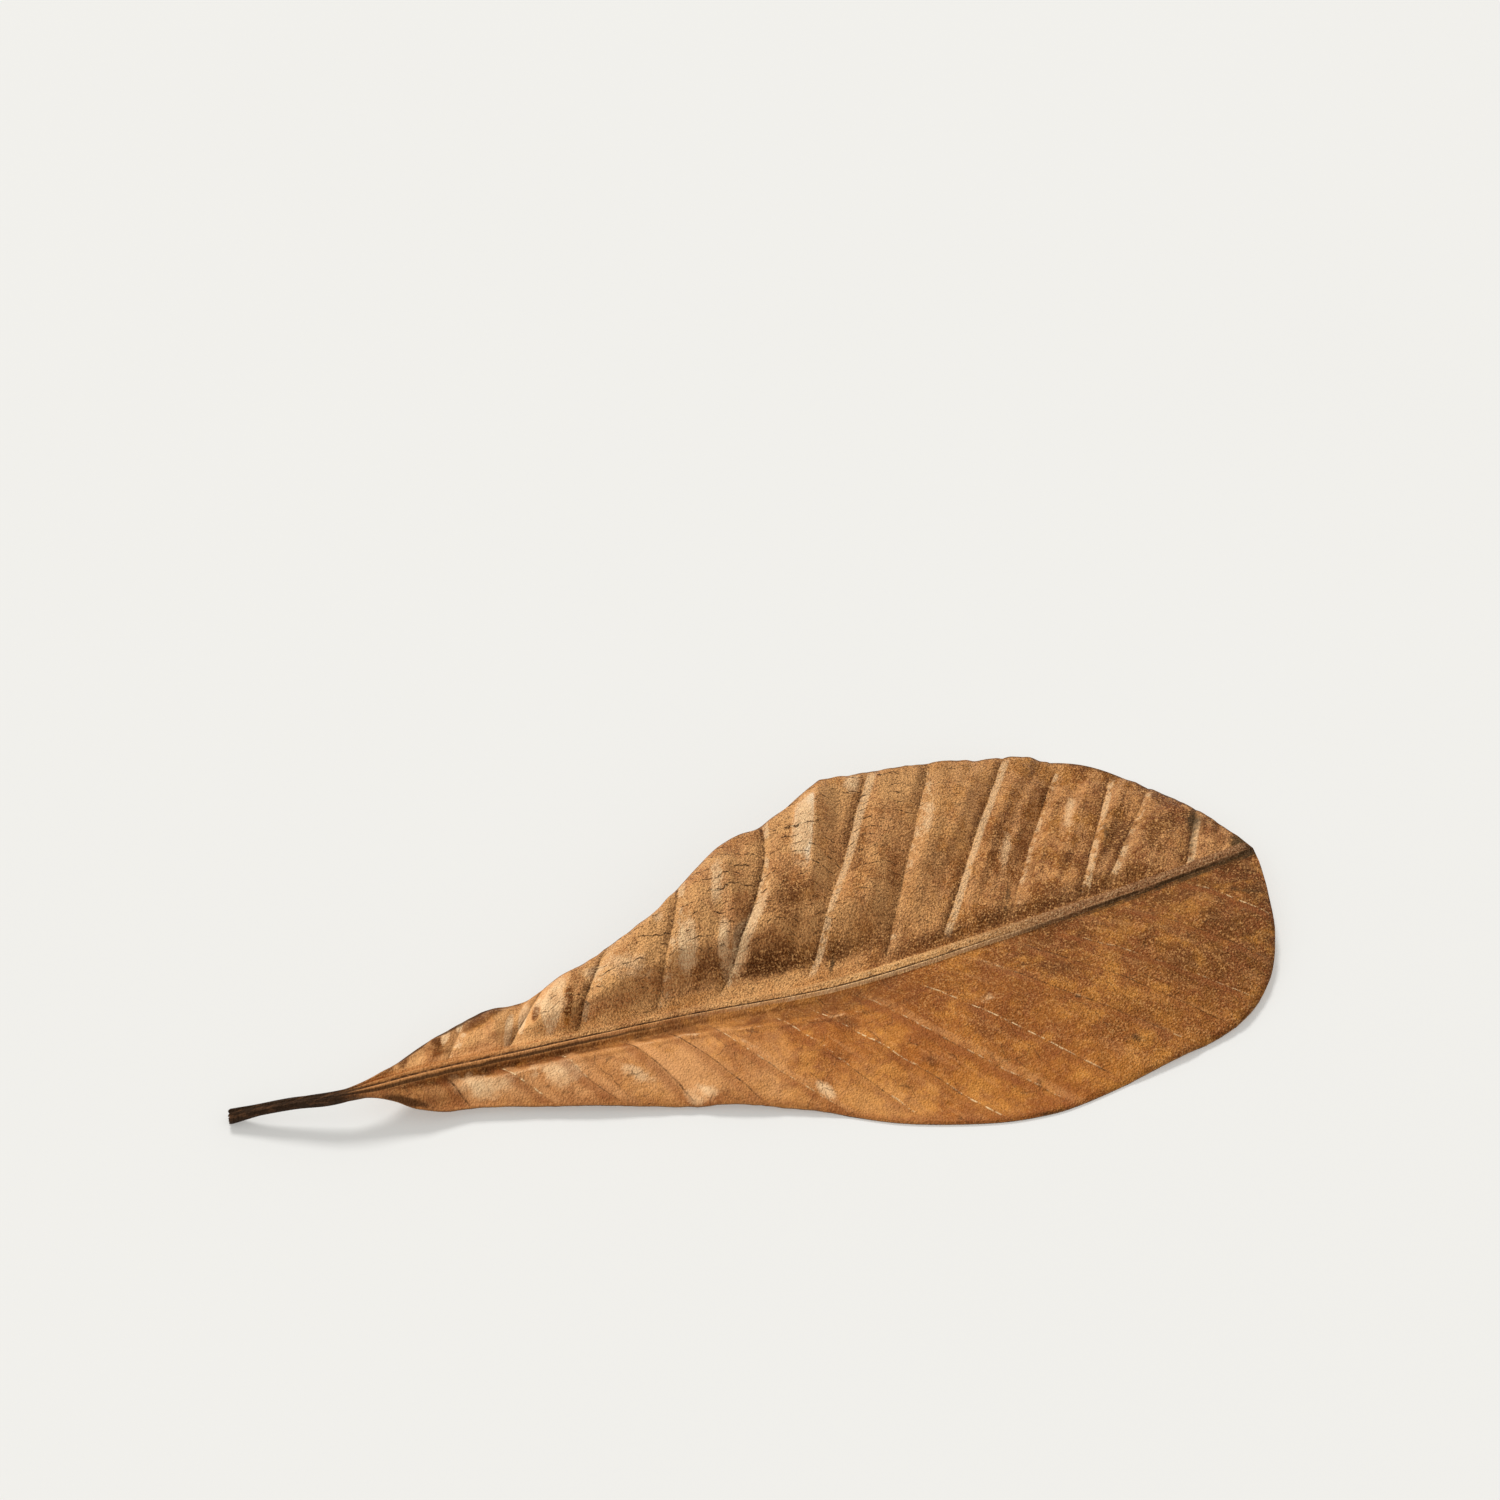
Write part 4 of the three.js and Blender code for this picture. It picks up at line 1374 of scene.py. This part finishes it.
    def grain(self, on: LeafFields) -> Coats:
        """The leathery grain: dark gaps painted as the shade between pebbles, freckles, and tops painted as
        highlights, strongest where the skin is rough.

        Args:
            on: The fields to work from.

        Returns:
            The coats.
        """
        pale_and_lit = on.facet_bleach_and_highlight + on.pale_mark
        bare = 1.0 - 0.62 * pale_and_lit.step(0.25, 0.7)
        gaps = (on.pebbles.step(0.42, 0.64) * 0.5).larger(on.grain.step(0.46, 0.37))
        tops = on.grain.step(0.5, 0.62) * (0.3 + 0.7 * on.fleck.step(0.58, 0.42))
        return (
            (self.gap, gaps * bare * (0.05 + 0.55 * on.rough)),
            (self.deep, on.fleck.step(0.56, 0.7) * (0.2 + 0.15 * on.rough)),
            (
                on.graph.blend(self.glow, self.cream, pale_and_lit.step(0.2, 0.7)),
                tops * (0.05 + (0.5 + 0.15 * on.raised) * on.rough),
            ),
        )

    def stains_and_edge_shade(self, on: LeafFields) -> Coats:
        """The dark marks, with edges broken by the grain, and a thin dark line along the raised edge, painted as the
        shade where the edge curls.

        Args:
            on: The fields to work from.

        Returns:
            The coats.
        """
        rag = (on.mottle - 0.5) * 1.1 + (on.fleck - 0.5) * 0.5
        rim = on.to_edge.step(0.75, 0.15) * (0.35 + 0.65 * on.mottle.step(0.42, 0.56))
        base_rim = on.to_edge.step(1.2, 0.5) * on.along.step(0.03, 0.06) * on.along.step(0.17, 0.13)
        return (
            (
                on.graph.blend(self.line, self.stain, on.along.step(0.1, 0.3)),
                on.stain.ragged(rag, 0.02, 0.3).step(0.25, 0.9) * 0.85,
            ),
            # painted shade: the thin dark line where the raised edge curls, strongest along the base
            (self.line, (rim * 0.6).larger(base_rim * 0.85) * on.raised),
        )

    def midrib(self, on: LeafFields) -> Coats:
        """The midrib: two dark lines of painted shade, in its groove and in the crease at its flank, round a pale lip
        at the base; the groove's line goes on as a hairline, then tan lips, then grey.

        Args:
            on: The fields to work from.

        Returns:
            The coats.
        """
        along = on.along
        across = on.from_midrib + (on.graph.noise(on.where, 260, 2) - 0.5) * 0.35
        strands = on.graph.noise(on.graph.vector(along * 32.0, on.from_midrib * 3.0, 0.0), 1.0, 4, 0.65)
        band = on.graph.coated(self.rib, (
            (self.rib_grey, along.step(0.58, 0.8)),
            (self.brown, along.step(0.35, 0.1) * 0.8),
            (self.deep, strands.step(0.5, 0.7) * 0.6),
            (self.deep, on.fleck.step(0.5, 0.66) * 0.4),
            # painted shade in the grain's gaps and painted highlights on its tops
            (self.gap, on.grain.step(0.48, 0.36) * on.rough * 0.45),
            (self.cream, on.grain.step(0.52, 0.64) * on.rough * 0.4),
        ))
        present = along.step(0.42, 0.56).larger(along.step(0.28, 0.12) * 0.8).larger(0.15)
        lip = abs(across + 0.5).step(0.36, 0.12) * along.step(0.3, 0.46) * along.step(0.8, 0.62)
        groove = abs(across).step(0.36, 0.14) * along.step(0.8, 0.62)
        ridge = abs(across + 0.5).step(0.3, 0.1) * along.step(0.36, 0.26)
        flank = abs(across + 1.0).step(0.3, 0.12) * along.step(0.4, 0.25)
        streak = abs(across + 1.1).step(1.3, 0.4) * along.step(0.66, 0.86)
        broken = (strands + (on.mottle - 0.5) * 0.5).step(0.4, 0.55)
        return (
            (band, across.window(-0.95, -0.7, 2.0, 2.35) * present * 0.92),
            (self.pale, lip * (0.35 + 0.4 * on.mottle.step(0.4, 0.6))),
            # painted shade in the groove
            (self.line, groove * (0.6 + 0.35 * on.fleck.step(0.35, 0.5))),
            (self.pinkish, ridge * 0.45),
            # painted shade in the crease at the flank
            (self.line, flank * 0.85),
            (self.stain, streak * (0.2 + 0.65 * broken)),
        )

    def underside(self, on: LeafFields) -> Coats:
        """The lower face, over dull tan: darker blotches, flecks, net, veins and midrib.

        Args:
            on: The fields to work from.

        Returns:
            The coats.
        """
        shares = (
            on.blotch.step(0.4, 0.7) * 0.6,
            on.fleck.step(0.45, 0.65) * 0.45,
            on.graph.cells(on.where, 420, "DISTANCE_TO_EDGE").step(0.07, 0.02) * 0.5,
            abs(on.distance).step(0.7, 0.15) * 0.85,
            abs(on.from_midrib).step(2.0, 0.9) * 0.75,
        )
        return tuple((self.under_dark, share) for share in shares)

    def bark(self, on: LeafFields) -> Coats:
        """The stalk: dark, with paler streaks along its fibres.

        Args:
            on: The fields to work from.

        Returns:
            The coats.
        """
        stretched = on.graph.node("ShaderNodeMapping", {}, {"Vector": on.where, "Scale": (120.0, 1500.0, 1500.0)})
        streaks = on.graph.noise(Field(on.graph, stretched.outputs[0]), 1.0, 3, 0.6)
        bark = on.graph.blend(self.stalk, self.stalk_streak, streaks.step(0.48, 0.7) * 0.6)
        return ((bark, (on.along + (on.fleck - 0.5) * 0.03).step(0.035, -0.01)),)


@dataclass(frozen=True)
class FloorFinish:
    """The pale, matt floor."""

    light: Colour = srgb(236, 235, 231)
    shade: Colour = srgb(234, 233, 229)

    def material(self) -> bpy.types.Material:
        """Makes the material: two near whites, blended by broad noise.

        Returns:
            The material.
        """
        graph = Graph("pale_floor")
        where = Field(graph, graph.node("ShaderNodeTexCoord").outputs["Object"])
        colour = graph.blend(self.light, self.shade, graph.noise(where, 6, 2))
        return graph.finished({"Base Color": colour, "Roughness": 0.9})


@dataclass(frozen=True)
class StudioLight:
    """One soft, distant light."""

    name: str
    azimuth: float
    elevation: float
    spread: float
    strength: float
    shadow: bool = True

    def build(self) -> None:
        """Adds the light, shining from its azimuth, in degrees to the left of +X, and its elevation."""
        light = bpy.data.lights.new(self.name, "SUN")
        light.energy = self.strength
        light.angle = math.radians(self.spread)
        light.use_shadow = self.shadow
        lamp = bpy.data.objects.new(self.name, light)
        lamp.rotation_euler = (math.radians(90 - self.elevation), 0.0, math.radians(self.azimuth + 90))
        bpy.context.scene.collection.objects.link(lamp)


@dataclass(frozen=True)
class Studio:
    """The floor, the lights and the camera."""

    floor_size: float = 4.0
    camera_elevation: float = 45.0
    camera_turn: float = 20.0
    camera_distance: float = 0.6811
    lens: float = 85.0
    sensor: float = 36.0
    clip: tuple[float, float] = (0.01, 20.0)
    leaf_offset: tuple[float, float] = (0.00284, -0.06533)
    sky: float = 0.37
    sky_colour: Colour = (1.0, 0.995, 0.985, 1.0)
    lights: tuple[StudioLight, ...] = (
        StudioLight("light_left", 172.0, 38.0, 30.0, 1.85, False),
        StudioLight("light_back", 84.0, 44.0, 16.0, 1.45),
    )

    def build(self) -> None:
        """Builds the floor, the lights and the camera."""
        self.build_floor()
        for light in self.lights:
            light.build()
        world = bpy.data.worlds.new("studio_air")
        world.use_nodes = True
        background = world.node_tree.nodes["Background"]
        background.inputs["Color"].default_value = self.sky_colour
        background.inputs["Strength"].default_value = self.sky
        bpy.context.scene.world = world
        bpy.context.scene.view_settings.view_transform = "Standard"
        self.build_camera()

    def build_floor(self) -> None:
        """Adds a level square at height 0."""
        half = self.floor_size / 2
        corners = [(-half, -half, 0.0), (half, -half, 0.0), (half, half, 0.0), (-half, half, 0.0)]
        mesh = bpy.data.meshes.new("pale_floor")
        mesh.from_pydata(corners, [], [(0, 1, 2, 3)])
        floor = bpy.data.objects.new("pale_floor", mesh)
        bpy.context.scene.collection.objects.link(floor)
        floor.data.materials.append(FloorFinish().material())

    def build_camera(self) -> None:
        """Adds the camera: it looks down on the leaf from the low half's side, turned a little to the left."""
        rise = math.radians(self.camera_elevation)
        turn = math.radians(-self.camera_turn)
        back = self.camera_distance * math.cos(rise)
        x, y = -self.leaf_offset[0], -back - self.leaf_offset[1]
        camera = bpy.data.cameras.new("camera")
        camera.lens = self.lens
        camera.sensor_width = self.sensor
        camera.clip_start, camera.clip_end = self.clip
        holder = bpy.data.objects.new("camera", camera)
        holder.location = (
            x * math.cos(turn) - y * math.sin(turn),
            x * math.sin(turn) + y * math.cos(turn),
            self.camera_distance * math.sin(rise),
        )
        holder.rotation_euler = (math.pi / 2 - rise, 0.0, turn)
        bpy.context.scene.collection.objects.link(holder)
        bpy.context.scene.camera = holder


def main() -> None:
    """Builds the leaf and its set."""
    logging.basicConfig(level=logging.INFO, format="%(name)s: %(message)s")
    leaf = Leaf().build()
    leaf.data.materials.append(LeafFinish().material())
    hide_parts("leaf")
    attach(leaf, "root")
    Studio().build()
    log.info("leaf is in place")


if __name__ == "__main__":
    main()
